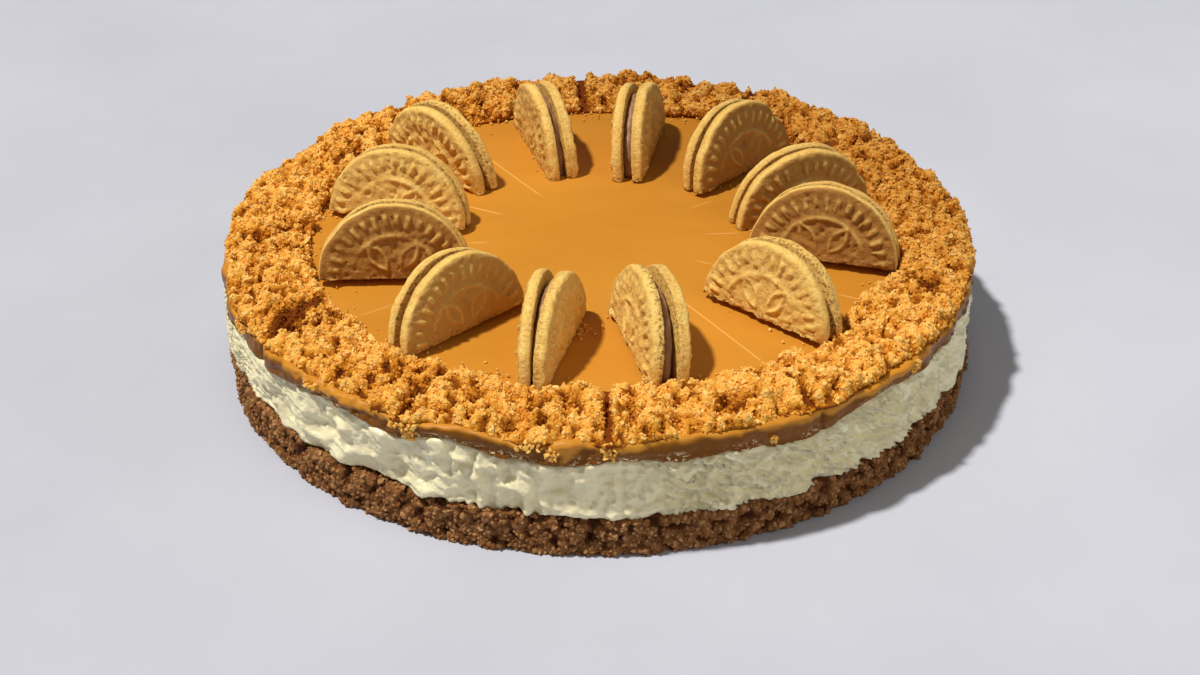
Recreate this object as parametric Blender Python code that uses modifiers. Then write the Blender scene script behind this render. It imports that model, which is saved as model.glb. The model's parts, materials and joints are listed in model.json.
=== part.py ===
# A round cheesecake made in layers: a biscuit-crumb base, a cream filling and a caramel topping.
# A ring of biscuit crumbs runs round the top, and twelve half sandwich biscuits stand inside it.
# Metres, +Z up. The origin is the centre of the underside, and the front of the cake is -Y.

import math
import random

import bmesh
import bpy
from mathutils import Vector, noise

MM = 0.001
GAP = 0.3 * MM  # left between pieces that touch

# Layers, from the underside up
CAKE_RADIUS = 127.0 * MM
BASE_TOP = 12.8 * MM
BASE_RADIUS = 126.2 * MM
FILLING_TOP = 34.4 * MM
FILLING_RADIUS = 125.2 * MM
TOPPING_TOP = 40.0 * MM
RIM_START = 112.0 * MM  # outside this radius the layers' edges wander up and down
LAYER_STEPS = 108
SCREW_MERGE = 0.00001
BASE_ROUNDING = 1.2 * MM
BASE_RELIEF = 1.6 * MM
BASE_LUMPS = 6.0 * MM
FILLING_ROUNDING = 1.0 * MM
FILLING_RELIEF = 2.2 * MM
FILLING_SMEARS = 11.0 * MM
FILLING_WALL = ((0.93, 0.0 * MM), (0.72, 0.5 * MM), (0.50, 0.2 * MM), (0.28, 0.3 * MM), (0.08, 0.2 * MM))
TOPPING_ROUNDING = 2.4 * MM
TOPPING_RELIEF = 1.3 * MM
TOPPING_WAVES = 14.0 * MM

# Ring of crumbs
RING_INNER = 98.0 * MM
RING_OUTER = 126.3 * MM
RING_HEIGHT = 4.4 * MM
RING_STEPS = 236
RING_ROWS = 10
CLUMP_SIZE = 10.0 * MM
CLUMP_HEIGHT = 2.8 * MM
BUMP_SIZE = 4.0 * MM
BUMP_HEIGHT = 2.6 * MM
HEAP_LOWEST = 1.2 * MM
HEAP_EDGE_SHARE = 0.45  # the heap's height at its two edges, as a share of its middle's
INNER_WANDER = 1.8 * MM
OUTER_WANDER = 0.9 * MM
CRUMB_CLEARANCE = 0.9 * MM  # between the ring and a biscuit's outer end
END_MARGIN = 1.5 * MM
CUT_DEPTH = 2.6 * MM
CUT_WIDTH = 1.3  # degrees

# Half sandwich biscuits
BISCUIT_RADIUS = 25.2 * MM
BISCUIT_THICKNESS = 4.2 * MM
BISCUIT_SIDES = 26
BISCUIT_ROUNDING = 1.3 * MM
CREAM_RADIUS = 21.6 * MM
CREAM_SIDES = 20
RADIUS_SPREAD = (-0.35 * MM, 0.25 * MM)
THICKNESS_SPREAD = (0.0, 0.3 * MM)
HALF_SHIFT = 0.3 * MM
SMOOTH_BELOW = 40.0  # degrees
SEED = 12

# Rises and dips of the layers' edges: azimuth in degrees, height and half width in degrees
BASE_SWELLS = ((222, 1.6 * MM, 45), (320, -0.9 * MM, 35), (285, 0.7 * MM, 6), (60, 0.8 * MM, 25))
FILLING_SWELLS = (
    (229, 2.6 * MM, 7), (248, 3.6 * MM, 5), (242, -2.2 * MM, 3), (264, -0.9 * MM, 6), (281, -1.4 * MM, 4),
    (299, -3.0 * MM, 7), (312, 1.2 * MM, 5), (340, -1.2 * MM, 8), (35, 1.5 * MM, 9), (110, -1.6 * MM, 8),
    (165, 1.4 * MM, 10),
)

# Portion cuts through the ring of crumbs, as azimuths in degrees
CUTS = (3, 33, 63, 93, 123, 153, 183, 213, 242, 271, 302, 333)

# Each biscuit: azimuth and radius of its foot's middle, direction of its foot line, lean to the left
# of that line, gap between its halves, and how far the halves open outwards (degrees, millimetres)
BISCUITS = (
    (106.3, 69.1, 107.1, 0.5, 2.8, 0.0),
    (137.4, 76.2, 134.1, 3.5, 2.2, 0.0),
    (168.8, 70.3, 162.0, -12.2, 1.8, 0.0),
    (201.8, 72.4, 182.4, -14.3, 2.4, 0.0),
    (232.8, 73.7, 223.2, -8.1, 2.4, 1.0),
    (258.1, 74.4, 257.8, -2.0, 3.2, -3.0),
    (281.3, 73.6, 285.5, 9.0, 3.8, 3.0),
    (315.0, 77.0, 317.1, 11.5, 2.8, 1.0),
    (346.5, 77.0, 342.8, 16.0, 2.2, 0.0),
    (13.8, 71.7, 23.0, -1.5, 1.8, 0.0),
    (44.4, 70.2, 46.7, 9.0, 2.0, 0.0),
    (76.6, 66.2, 78.8, 5.0, 3.4, 0.0),
)

# Colour, roughness
MATERIALS = {
    "base_crumb": ((0.150, 0.068, 0.026), 0.90),
    "cream": ((0.760, 0.720, 0.520), 0.45),
    "caramel": ((0.560, 0.235, 0.055), 0.32),
    "ring_crumb": ((0.560, 0.250, 0.070), 0.90),
    "biscuit": ((0.560, 0.330, 0.140), 0.85),
    "biscuit_cream": ((0.240, 0.130, 0.075), 0.60),
}


def clear_scene():
    for thing in list(bpy.data.objects):
        bpy.data.objects.remove(thing, do_unlink=True)


def make_material(name):
    colour, roughness = MATERIALS[name]
    material = bpy.data.materials.new(name)
    material.use_nodes = True
    shader = material.node_tree.nodes["Principled BSDF"]
    shader.inputs["Base Color"].default_value = (*colour, 1.0)
    shader.inputs["Roughness"].default_value = roughness
    shader.inputs["Metallic"].default_value = 0.0
    return material


def add_object(name, mesh, material, collection):
    mesh.name = name
    mesh.materials.clear()
    mesh.materials.append(material)
    thing = bpy.data.objects.new(name, mesh)
    collection.objects.link(thing)
    return thing


def angle_apart(first, second):
    # Smallest angle between two azimuths, in degrees
    return abs((first - second + 180.0) % 360.0 - 180.0)


def swell(azimuth, swells):
    # Sum of smooth rises and dips at an azimuth in degrees
    total = 0.0
    for centre, height, width in swells:
        total += height * math.exp(-((angle_apart(azimuth, centre) / width) ** 2))
    return total


def wander(point, size, seed):
    # Smooth noise between about -1 and 1 with features of the given size
    return noise.noise(Vector(point) / size + Vector((seed, 2.0 * seed, 3.0 * seed)))


def rim_share(radius):
    # 0 inside the flat middle, 1 at the cake's side
    return max(0.0, (radius - RIM_START) / (CAKE_RADIUS - RIM_START))


def base_top_at(azimuth, radius):
    return BASE_TOP + rim_share(radius) * swell(azimuth, BASE_SWELLS)


def filling_top_at(azimuth, radius):
    return FILLING_TOP + rim_share(radius) * swell(azimuth, FILLING_SWELLS)


def turned_mesh(profile, steps, closed):
    # A profile of (radius, height) points turned once round Z, running down its outer side
    mesh = bpy.data.meshes.new("profile")
    edges = [(i, i + 1) for i in range(len(profile) - 1)]
    if closed:
        edges.append((len(profile) - 1, 0))
    mesh.from_pydata([(radius, 0.0, height) for radius, height in profile], edges, [])
    lathe = bpy.data.objects.new("lathe", mesh)
    bpy.context.scene.collection.objects.link(lathe)
    screw = lathe.modifiers.new("turn", "SCREW")
    screw.steps = steps
    screw.render_steps = steps
    screw.use_merge_vertices = True
    screw.merge_threshold = SCREW_MERGE
    bpy.context.view_layer.update()
    evaluated = lathe.evaluated_get(bpy.context.evaluated_depsgraph_get())
    turned = bpy.data.meshes.new_from_object(evaluated)
    bpy.data.objects.remove(lathe, do_unlink=True)
    return turned


def corner_rank(vert, turn):
    # Grows outwards, and from the earlier to the later side of an azimuth given in radians
    later = math.remainder(math.atan2(vert.co.y, vert.co.x) - turn, 2.0 * math.pi)
    return math.hypot(vert.co.x, vert.co.y) / CAKE_RADIUS + math.copysign(1.0, later)


def split_alike(mesh):
    # Splits each four-sided face from its inner, earlier corner to its outer, later one, so that
    # two layers which meet have the same facets on both sides of the gap
    form = bmesh.new()
    form.from_mesh(mesh)
    for face in [face for face in form.faces if len(face.verts) == 4]:
        centre = face.calc_center_median()
        turn = math.atan2(centre.y, centre.x)
        corners = sorted(face.verts, key=lambda vert: corner_rank(vert, turn))
        first = corners[0]
        last = corners[-1]
        if all(edge.other_vert(first) is not last for edge in first.link_edges):
            bmesh.utils.face_split(face, first, last)
    bmesh.ops.triangulate(form, faces=form.faces)
    form.to_mesh(mesh)
    form.free()


def shape_layer(mesh, bottom, top, low, high, side):
    # Moves a turned layer's points between its lower and upper surfaces and out to its side
    for vert in mesh.vertices:
        radius = math.hypot(vert.co.x, vert.co.y)
        if radius < SCREW_MERGE:
            continue
        azimuth = math.degrees(math.atan2(vert.co.y, vert.co.x)) % 360.0
        share = (vert.co.z - bottom) / (top - bottom)
        new_radius = radius + side(azimuth, radius, share)
        lower = low(azimuth, new_radius)
        upper = high(azimuth, new_radius)
        vert.co.x *= new_radius / radius
        vert.co.y *= new_radius / radius
        vert.co.z = lower + share * (upper - lower)
    split_alike(mesh)


def side_noise(amount, size, seed):
    # Relief of a layer's side, fading out inside the rim
    def push(azimuth, radius, share):
        if radius < RIM_START + GAP:
            return 0.0
        turn = math.radians(azimuth)
        point = (radius * math.cos(turn), radius * math.sin(turn), share * size * 1.5)
        return amount * wander(point, size, seed)
    return push


def make_base(collection):
    top = BASE_TOP - GAP
    profile = [
        (0.0, top), (RIM_START, top), (BASE_RADIUS - BASE_ROUNDING, top),
        (BASE_RADIUS, top - 2.0 * BASE_ROUNDING), (BASE_RADIUS, top / 2.0),
        (BASE_RADIUS - BASE_ROUNDING / 2.0, 0.0), (RIM_START, 0.0), (0.0, 0.0),
    ]
    mesh = turned_mesh(profile, LAYER_STEPS, False)
    shape_layer(
        mesh, 0.0, top,
        lambda azimuth, radius: 0.0,
        lambda azimuth, radius: base_top_at(azimuth, radius) - GAP,
        side_noise(BASE_RELIEF, BASE_LUMPS, 1.0),
    )
    return add_object("crumb_base", mesh, make_material("base_crumb"), collection)


def make_filling(collection):
    bottom = BASE_TOP
    top = FILLING_TOP - GAP
    wall = [(FILLING_RADIUS - hollow, bottom + share * (top - bottom)) for share, hollow in FILLING_WALL]
    profile = [(0.0, top), (RIM_START, top), (FILLING_RADIUS - FILLING_ROUNDING, top)] + wall
    profile += [(FILLING_RADIUS - FILLING_ROUNDING, bottom), (RIM_START, bottom), (0.0, bottom)]
    mesh = turned_mesh(profile, LAYER_STEPS, False)
    shape_layer(
        mesh, bottom, top,
        base_top_at,
        lambda azimuth, radius: filling_top_at(azimuth, radius) - GAP,
        side_noise(FILLING_RELIEF, FILLING_SMEARS, 4.0),
    )
    return add_object("cream_filling", mesh, make_material("cream"), collection)


def make_topping(collection):
    bottom = FILLING_TOP
    top = TOPPING_TOP
    bend = TOPPING_ROUNDING
    profile = [
        (0.0, top), (RIM_START, top), (CAKE_RADIUS - bend, top), (CAKE_RADIUS - bend / 5.0, top - bend / 2.5),
        (CAKE_RADIUS, top - bend), (CAKE_RADIUS - bend / 5.0, bottom + bend / 2.5),
        (CAKE_RADIUS - bend / 1.5, bottom), (RIM_START, bottom), (0.0, bottom),
    ]
    mesh = turned_mesh(profile, LAYER_STEPS, False)
    shape_layer(
        mesh, bottom, top,
        filling_top_at,
        lambda azimuth, radius: TOPPING_TOP,
        side_noise(TOPPING_RELIEF, TOPPING_WAVES, 7.0),
    )
    return add_object("caramel_topping", mesh, make_material("caramel"), collection)


def biscuit_ends():
    # Azimuth, radius and half width, in degrees, of the space each biscuit's outer end takes
    ends = []
    for azimuth, distance, heading, lean, gap, opening in BISCUITS:
        middle = Vector((math.cos(math.radians(azimuth)), math.sin(math.radians(azimuth)))) * distance * MM
        along = Vector((math.cos(math.radians(heading)), math.sin(math.radians(heading))))
        end = middle + along * BISCUIT_RADIUS
        half_width = (gap * MM / 2.0 + BISCUIT_THICKNESS + END_MARGIN) / end.length
        end_azimuth = math.degrees(math.atan2(end.y, end.x)) % 360.0
        ends.append((end_azimuth, end.length, math.degrees(half_width)))
    return ends


def ring_inner_at(azimuth, ends):
    # The ring's inner edge wanders, and draws back where a biscuit's end reaches it
    turn = math.radians(azimuth)
    edge = RING_INNER + INNER_WANDER * wander((math.cos(turn), math.sin(turn), 0.0), 0.16, 9.0)
    for end_azimuth, end_radius, half_width in ends:
        apart = angle_apart(azimuth, end_azimuth)
        reach = end_radius + CRUMB_CLEARANCE
        if apart < half_width:
            edge = max(edge, reach)
        elif apart < 2.0 * half_width:
            blend = (2.0 * half_width - apart) / half_width
            edge = max(edge, edge + (reach - edge) * blend)
    return edge


def crumb_height(x, y, share, azimuth):
    # Height of the heap over the topping: steep shoulders, clumps, loose bumps and the portion cuts
    shoulder = math.sqrt(max(0.0, 1.0 - (2.0 * share - 1.0) ** 4))
    clumps = CLUMP_HEIGHT * wander((x, y, 0.0), CLUMP_SIZE, 3.0)
    bumps = BUMP_HEIGHT * wander((x, y, 0.0), BUMP_SIZE, 5.0)
    rise = HEAP_EDGE_SHARE + (1.0 - HEAP_EDGE_SHARE) * shoulder
    height = (RING_HEIGHT + bumps) * rise + clumps
    for cut in CUTS:
        height -= CUT_DEPTH * math.exp(-((angle_apart(azimuth, cut) / CUT_WIDTH) ** 2))
    return max(height, HEAP_LOWEST)


def make_crumb_ring(collection):
    floor = TOPPING_TOP + GAP
    span = RING_OUTER - RING_INNER
    top = floor + RING_HEIGHT
    rows = [RING_OUTER - span * row / (RING_ROWS - 1) for row in range(RING_ROWS)]
    profile = [(radius, top) for radius in reversed(rows)] + [(RING_OUTER, floor), (RING_INNER, floor)]
    mesh = turned_mesh(profile, RING_STEPS, True)
    ends = biscuit_ends()
    for vert in mesh.vertices:
        radius = math.hypot(vert.co.x, vert.co.y)
        azimuth = math.degrees(math.atan2(vert.co.y, vert.co.x)) % 360.0
        turn = math.radians(azimuth)
        share = (radius - RING_INNER) / span
        inner = ring_inner_at(azimuth, ends)
        outer = RING_OUTER + OUTER_WANDER * wander((math.cos(turn), math.sin(turn), 1.0), 0.05, 6.0)
        new_radius = inner + share * (outer - inner)
        vert.co.x = new_radius * math.cos(turn)
        vert.co.y = new_radius * math.sin(turn)
        if vert.co.z > (floor + top) / 2.0:
            vert.co.z = floor + crumb_height(vert.co.x, vert.co.y, share, azimuth)
    return add_object("crumb_ring", mesh, make_material("ring_crumb"), collection)


def half_disc_mesh(radius, thickness, sides, rounding):
    # Half a disc standing on its cut edge: foot along X, thickness along Y, with the rim of its
    # outer face (+Y) rounded
    form = bmesh.new()
    bmesh.ops.create_cone(
        form, cap_ends=True, segments=sides, radius1=radius, radius2=radius, depth=thickness,
    )
    everything = form.verts[:] + form.edges[:] + form.faces[:]
    bmesh.ops.bisect_plane(form, geom=everything, plane_co=(0, 0, 0), plane_no=(0, -1, 0), clear_outer=True)
    bmesh.ops.holes_fill(form, edges=[edge for edge in form.edges if edge.is_boundary])
    if rounding > 0.0:
        rim = [
            edge for edge in form.edges
            if all(vert.co.z < -thickness / 2.0 + GAP for vert in edge.verts)
            and sum(vert.co.y for vert in edge.verts) > GAP
        ]
        bmesh.ops.bevel(form, geom=rim, offset=rounding, segments=2, affect="EDGES", clamp_overlap=True)
    for vert in form.verts:
        vert.co = Vector((vert.co.x, -vert.co.z, max(vert.co.y, 0.0)))
    bmesh.ops.recalc_face_normals(form, faces=form.faces)
    mesh = bpy.data.meshes.new("half disc")
    form.to_mesh(mesh)
    form.free()
    mesh.shade_smooth()
    mesh.set_sharp_from_angle(angle=math.radians(SMOOTH_BELOW))
    return mesh


def make_biscuit(number, placing, materials, collection, draw):
    azimuth, distance, heading, lean, gap_mm, opening = placing
    gap = gap_mm * MM
    turn = math.radians(azimuth)
    rise = (gap / 2.0 + BISCUIT_THICKNESS) * abs(math.sin(math.radians(lean)))
    foot = bpy.data.objects.new(f"biscuit_{number:02d}_foot", None)
    foot.location = (
        distance * MM * math.cos(turn), distance * MM * math.sin(turn), TOPPING_TOP + GAP + rise,
    )
    foot.rotation_euler = (-math.radians(lean), 0.0, math.radians(heading))
    collection.objects.link(foot)

    for name, side in (("left", 1.0), ("right", -1.0)):
        radius = BISCUIT_RADIUS + draw.uniform(*RADIUS_SPREAD)
        thickness = BISCUIT_THICKNESS - draw.uniform(*THICKNESS_SPREAD)
        mesh = half_disc_mesh(radius, thickness, BISCUIT_SIDES, BISCUIT_ROUNDING)
        half = add_object(f"biscuit_{number:02d}_{name}", mesh, materials["biscuit"], collection)
        half.parent = foot
        half.location = (draw.uniform(-HALF_SHIFT, HALF_SHIFT), side * (gap + thickness) / 2.0, 0.0)
        half.rotation_euler[2] = math.radians(side * opening / 2.0 + (0.0 if side > 0.0 else 180.0))

    closing = 2.0 * CREAM_RADIUS * math.sin(math.radians(abs(opening) / 2.0))
    cream_thickness = gap - closing - 2.0 * GAP
    mesh = half_disc_mesh(CREAM_RADIUS, cream_thickness, CREAM_SIDES, 0.0)
    cream = add_object(f"biscuit_{number:02d}_cream", mesh, materials["biscuit_cream"], collection)
    cream.parent = foot


def main():
    clear_scene()
    collection = bpy.data.collections.new("layered_cheesecake")
    bpy.context.scene.collection.children.link(collection)
    make_base(collection)
    make_filling(collection)
    make_topping(collection)
    make_crumb_ring(collection)
    draw = random.Random(SEED)
    materials = {name: make_material(name) for name in ("biscuit", "biscuit_cream")}
    for number, placing in enumerate(BISCUITS, start=1):
        make_biscuit(number, placing, materials, collection, draw)


main()
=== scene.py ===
import json
import math
import random

import bmesh
import bpy
import numpy as np
from mathutils import Euler, Matrix, Vector, noise

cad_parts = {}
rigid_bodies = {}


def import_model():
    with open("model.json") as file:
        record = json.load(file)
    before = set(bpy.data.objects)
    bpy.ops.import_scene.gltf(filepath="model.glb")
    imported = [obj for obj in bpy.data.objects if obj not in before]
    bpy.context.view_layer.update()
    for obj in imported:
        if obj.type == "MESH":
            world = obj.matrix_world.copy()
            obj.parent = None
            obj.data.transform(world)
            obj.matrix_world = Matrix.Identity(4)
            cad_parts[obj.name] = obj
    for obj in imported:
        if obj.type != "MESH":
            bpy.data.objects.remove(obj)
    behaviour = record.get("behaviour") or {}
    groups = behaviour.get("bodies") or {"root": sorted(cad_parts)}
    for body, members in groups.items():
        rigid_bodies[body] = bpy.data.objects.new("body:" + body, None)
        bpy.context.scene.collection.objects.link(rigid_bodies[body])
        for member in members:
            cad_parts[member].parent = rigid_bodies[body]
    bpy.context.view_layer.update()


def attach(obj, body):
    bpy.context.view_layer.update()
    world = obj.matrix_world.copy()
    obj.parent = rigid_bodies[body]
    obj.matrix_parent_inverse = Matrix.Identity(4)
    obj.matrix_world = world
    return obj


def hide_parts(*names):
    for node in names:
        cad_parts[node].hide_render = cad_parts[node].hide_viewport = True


# A layered cheesecake: crumb base, cream filling, caramel topping, a ring of biscuit crumbs and
# twelve half sandwich biscuits. Metres, +Z up, front towards -Y, azimuths in degrees from +X.

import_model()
mm = 0.001

# The cake's main sizes, the same as those of its solids
cake = {
    "radius": 127.0 * mm,
    "rimStart": 112.0 * mm,  # the layers' edges wander up and down outside this radius
    "gap": 0.3 * mm,
    "baseRadius": 126.2 * mm,
    "baseTop": 12.8 * mm,
    "fillingRadius": 125.2 * mm,
    "fillingTop": 34.4 * mm,
    "toppingTop": 40.0 * mm,
    "baseSwells": ((222, 1.6, 45), (320, -0.9, 35), (285, 0.7, 6), (60, 0.8, 25)),
    "fillingSwells": (
        (229, 2.6, 7), (248, 3.6, 5), (242, -2.2, 3), (264, -0.9, 6), (281, -1.4, 4), (299, -3.0, 7),
        (312, 1.2, 5), (340, -1.2, 8), (35, 1.5, 9), (110, -1.6, 8), (165, 1.4, 10),
    ),
    "cuts": (3, 33, 63, 93, 123, 153, 183, 213, 242, 271, 302, 333),
}


# Shared helpers

def angleApart(first, second):
    return np.abs((first - second + 180.0) % 360.0 - 180.0)


def hump(azimuth, centre, width):
    # 1 at an azimuth, falling smoothly to 0 beyond the width
    return np.exp(-((angleApart(azimuth, centre) / width) ** 2))


def swell(azimuth, swells):
    return sum(height * mm * hump(azimuth, centre, width) for centre, height, width in swells)


def rimShare(radius):
    return np.clip((radius - cake["rimStart"]) / (cake["radius"] - cake["rimStart"]), 0.0, 1.1)


def baseTopAt(azimuth, radius):
    return cake["baseTop"] + rimShare(radius) * swell(azimuth, cake["baseSwells"])


def fillingTopAt(azimuth, radius):
    return cake["fillingTop"] + rimShare(radius) * swell(azimuth, cake["fillingSwells"])


def clamp(values):
    return np.clip(values, 0.0, 1.0)


def placesFor(points, size, seed, stretch):
    places = points / (size * np.array(stretch)) + np.array((seed, 2.0 * seed, 3.0 * seed))
    return places.reshape(-1, 3).tolist()


def noiseField(points, size, seed, stretch=(1.0, 1.0, 1.0)):
    # Smooth noise of about -1 to 1 at each point
    values = [noise.noise(place) for place in placesFor(points, size, seed, stretch)]
    return np.reshape(values, points.shape[:-1])


def cellField(points, size, seed, stretch=(1.0, 1.0, 1.0)):
    # Distance to the nearest of points strewn about a size apart: 0 on one, near 1 between them
    values = [noise.voronoi(place)[0][0] for place in placesFor(points, size, seed, stretch)]
    return np.reshape(values, points.shape[:-1])


def warpField(points, size, firstSeed):
    # Three noises with seeds that follow one another, as a push for each point
    return np.stack([noiseField(points, size, firstSeed + axis) for axis in range(3)], axis=-1)


def dome(distance, reach):
    # A rounded lump from the distance to its middle: 1 there, 0 from its reach on
    return np.sqrt(clamp(1.0 - (distance / reach) ** 2))


def stepsRound(count):
    # Azimuths evenly round the cake
    return np.arange(count) * 360.0 / count


def unitAt(azimuth):
    return Vector((math.cos(math.radians(azimuth)), math.sin(math.radians(azimuth)), 0.0))


def onCylinder(azimuth, radius, height):
    turn = np.radians(azimuth)
    radius, turn, height = np.broadcast_arrays(radius, turn, height)
    return np.stack((radius * np.cos(turn), radius * np.sin(turn), height), axis=-1)


def twisted(points, pitch):
    # Turns each point about Z by its height, so that noise read there runs aslant
    x, y, z = points[..., 0], points[..., 1], points[..., 2]
    cosine, sine = np.cos(z * pitch), np.sin(z * pitch)
    return np.stack((x * cosine - y * sine, x * sine + y * cosine, z), axis=-1)


def addPiece(name, vertices, faces, material, smooth=True):
    mesh = bpy.data.meshes.new(name)
    mesh.from_pydata(vertices, [], faces)
    mesh.materials.append(material)
    if smooth:
        mesh.shade_smooth()
    piece = bpy.data.objects.new(name, mesh)
    bpy.context.scene.collection.objects.link(piece)
    return piece


def addValues(piece, name, values):
    attribute = piece.data.attributes.new(name, "FLOAT", "POINT")
    attribute.data.foreach_set("value", np.asarray(values, np.float32).ravel())


def addRowValues(piece, name, points, rows, values, under=0.0):
    # Values on some rows of a round piece's points, one value under them and 0 on the rest
    whole = np.zeros(points.shape[:2])
    whole[rows] = values
    whole[-1] = under
    addValues(piece, name, np.concatenate(([0.0], whole.ravel(), [under])))


def mergePoints(piece):
    # Joins points that lie on one another and turns all faces outward
    form = bmesh.new()
    form.from_mesh(piece.data)
    bmesh.ops.remove_doubles(form, verts=form.verts, dist=0.01 * mm)
    bmesh.ops.recalc_face_normals(form, faces=form.faces)
    form.to_mesh(piece.data)
    form.free()


def ringFaces(rows, steps, first=0, closed=False):
    # Faces between rows of points that each run once round the cake
    faces = []
    pairs = [(row, row + 1) for row in range(rows - 1)] + ([(rows - 1, 0)] if closed else [])
    for row, below in pairs:
        for step in range(steps):
            after = (step + 1) % steps
            faces.append((
                first + row * steps + step, first + below * steps + step,
                first + below * steps + after, first + row * steps + after,
            ))
    return faces


def turnedPiece(name, points, topHeight, bottomHeight, material):
    # A closed round piece from rows of points that run from its top over its side to its underside
    rows, steps = points.shape[:2]
    vertices = [(0.0, 0.0, topHeight)] + points.reshape(-1, 3).tolist() + [(0.0, 0.0, bottomHeight)]
    last = len(vertices) - 1
    faces = ringFaces(rows, steps, first=1)
    for step in range(steps):
        after = (step + 1) % steps
        faces.append((0, 1 + step, 1 + after))
        faces.append((last, last - steps + after, last - steps + step))
    return addPiece(name, vertices, faces, material)


# Material helpers

def newMaterial(name, look):
    material = bpy.data.materials.new(name)
    material.use_nodes = True
    shader = material.node_tree.nodes["Principled BSDF"]
    for label, value in look.items():
        shader.inputs[label].default_value = value
    return material, material.node_tree, shader


def feed(tree, socket, value):
    # Links a socket to another, or sets its value
    if isinstance(value, bpy.types.NodeSocket):
        tree.links.new(value, socket)
    else:
        socket.default_value = value


def addNode(tree, kind, feeds=(), **values):
    # A node with its settings, and pairs of input names and what feeds them
    node = tree.nodes.new(kind)
    for label, value in values.items():
        setattr(node, label, value)
    for label, value in feeds:
        feed(tree, node.inputs[label], value)
    return node


def noiseNode(tree, size, detail=3.0, roughness=0.55, stretch=(1.0, 1.0, 1.0)):
    # Noise on the piece's own coordinates, with features of about a size in metres
    place = addNode(tree, "ShaderNodeTexCoord").outputs["Object"]
    mapping = addNode(tree, "ShaderNodeMapping", (("Vector", place), ("Scale", stretch)))
    texture = addNode(tree, "ShaderNodeTexNoise", (
        ("Vector", mapping.outputs["Vector"]), ("Scale", 1.0 / size),
        ("Detail", detail), ("Roughness", roughness),
    ))
    return texture.outputs["Fac"]


def attributeNode(tree, name):
    return addNode(tree, "ShaderNodeAttribute", attribute_name=name).outputs["Fac"]


def rampNode(tree, source, stops):
    # Colours at positions from 0 to 1 along a value
    ramp = addNode(tree, "ShaderNodeValToRGB", (("Fac", source),))
    elements = ramp.color_ramp.elements
    while len(elements) < len(stops):
        elements.new(0.5)
    for element, (position, colour) in zip(elements, stops):
        element.position = position
        element.color = (*colour, 1.0)
    return ramp.outputs["Color"]


def rangeNode(tree, source, low, high, lowest=0.0, highest=1.0):
    node = addNode(tree, "ShaderNodeMapRange", (
        ("Value", source), ("From Min", low), ("From Max", high), ("To Min", lowest), ("To Max", highest),
    ), interpolation_type="SMOOTHSTEP")
    return node.outputs["Result"]


def mathNode(tree, operation, first, second):
    return addNode(tree, "ShaderNodeMath", ((0, first), (1, second)), operation=operation).outputs["Value"]


def mixNode(tree, share, first, second, blend="MIX"):
    # Each colour is a socket or three numbers
    node = addNode(tree, "ShaderNodeMix", data_type="RGBA", blend_type=blend)
    feed(tree, node.inputs["Factor"], share)
    for label, colour in (("A", first), ("B", second)):
        feed(tree, node.inputs[label], (*colour, 1.0) if isinstance(colour, tuple) else colour)
    return node.outputs["Result"]


def bumpNode(tree, height, strength, distance, under=None):
    feeds = (("Height", height), ("Strength", strength), ("Distance", distance))
    bump = addNode(tree, "ShaderNodeBump", feeds)
    if under is not None:
        tree.links.new(under, bump.inputs["Normal"])
    return bump.outputs["Normal"]


def paintedFarShade(tree, colour, paintedShadeTint):
    # Painted shade: multiplies a colour darker towards the right of the cake's far side, where the light
    # falls off
    place = addNode(tree, "ShaderNodeTexCoord").outputs["Object"]
    along = addNode(tree, "ShaderNodeVectorMath", ((0, place), (1, (0.7, 0.7, 0.0))), operation="DOT_PRODUCT")
    share = rangeNode(tree, along.outputs["Value"], 0.0, 110.0 * mm)
    return mixNode(tree, share, colour, paintedShadeTint, "MULTIPLY")


# Materials

def crumbMaterial(name, look):
    # Baked crumb: a grainy surface, each crumb in its own tone, and darker where its raised value is low,
    # which is painted shade between the lumps and in hollows and cuts
    material, tree, shader = newMaterial(name, {"Roughness": look["roughness"], "Specular IOR Level": 0.15})
    grain = noiseNode(tree, look["grain"], 4.0, 0.65)
    # raised: high on the tops of lumps and low between them; the low values give the painted shade
    shares = ((attributeNode(tree, "tone"), 0.25), (attributeNode(tree, "raised"), 0.55), (grain, 0.3))
    tone = 0.0
    for source, share in shares:
        tone = mathNode(tree, "ADD", mathNode(tree, "MULTIPLY", source, share), tone)
    colour = rampNode(tree, tone, look["stops"])
    tree.links.new(paintedFarShade(tree, colour, look["far"]), shader.inputs["Base Color"])
    tree.links.new(bumpNode(tree, grain, 1.0, look["grain"] * 0.6), shader.inputs["Normal"])
    return material


baseCrumbLook = {
    "roughness": 0.82,
    "grain": 0.7 * mm,
    # far: the tint of the painted shade on the cake's far side
    "far": (0.80, 0.80, 0.80),
    "stops": (
        (0.22, (0.038, 0.008, 0.001)), (0.46, (0.125, 0.043, 0.011)),
        (0.66, (0.270, 0.115, 0.038)), (0.95, (0.570, 0.310, 0.130)),
    ),
}
ringCrumbLook = {
    "roughness": 0.85,
    "grain": 0.5 * mm,
    # far: the tint of the painted shade on the cake's far side
    "far": (0.71, 0.62, 0.52),
    "stops": (
        (0.24, (0.190, 0.040, 0.001)), (0.44, (0.640, 0.240, 0.014)),
        (0.62, (0.920, 0.470, 0.080)), (0.90, (0.990, 0.690, 0.230)),
    ),
}
baseCrumbFinish = crumbMaterial("base crumb", baseCrumbLook)
ringCrumbFinish = crumbMaterial("ring crumb", ringCrumbLook)


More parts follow.
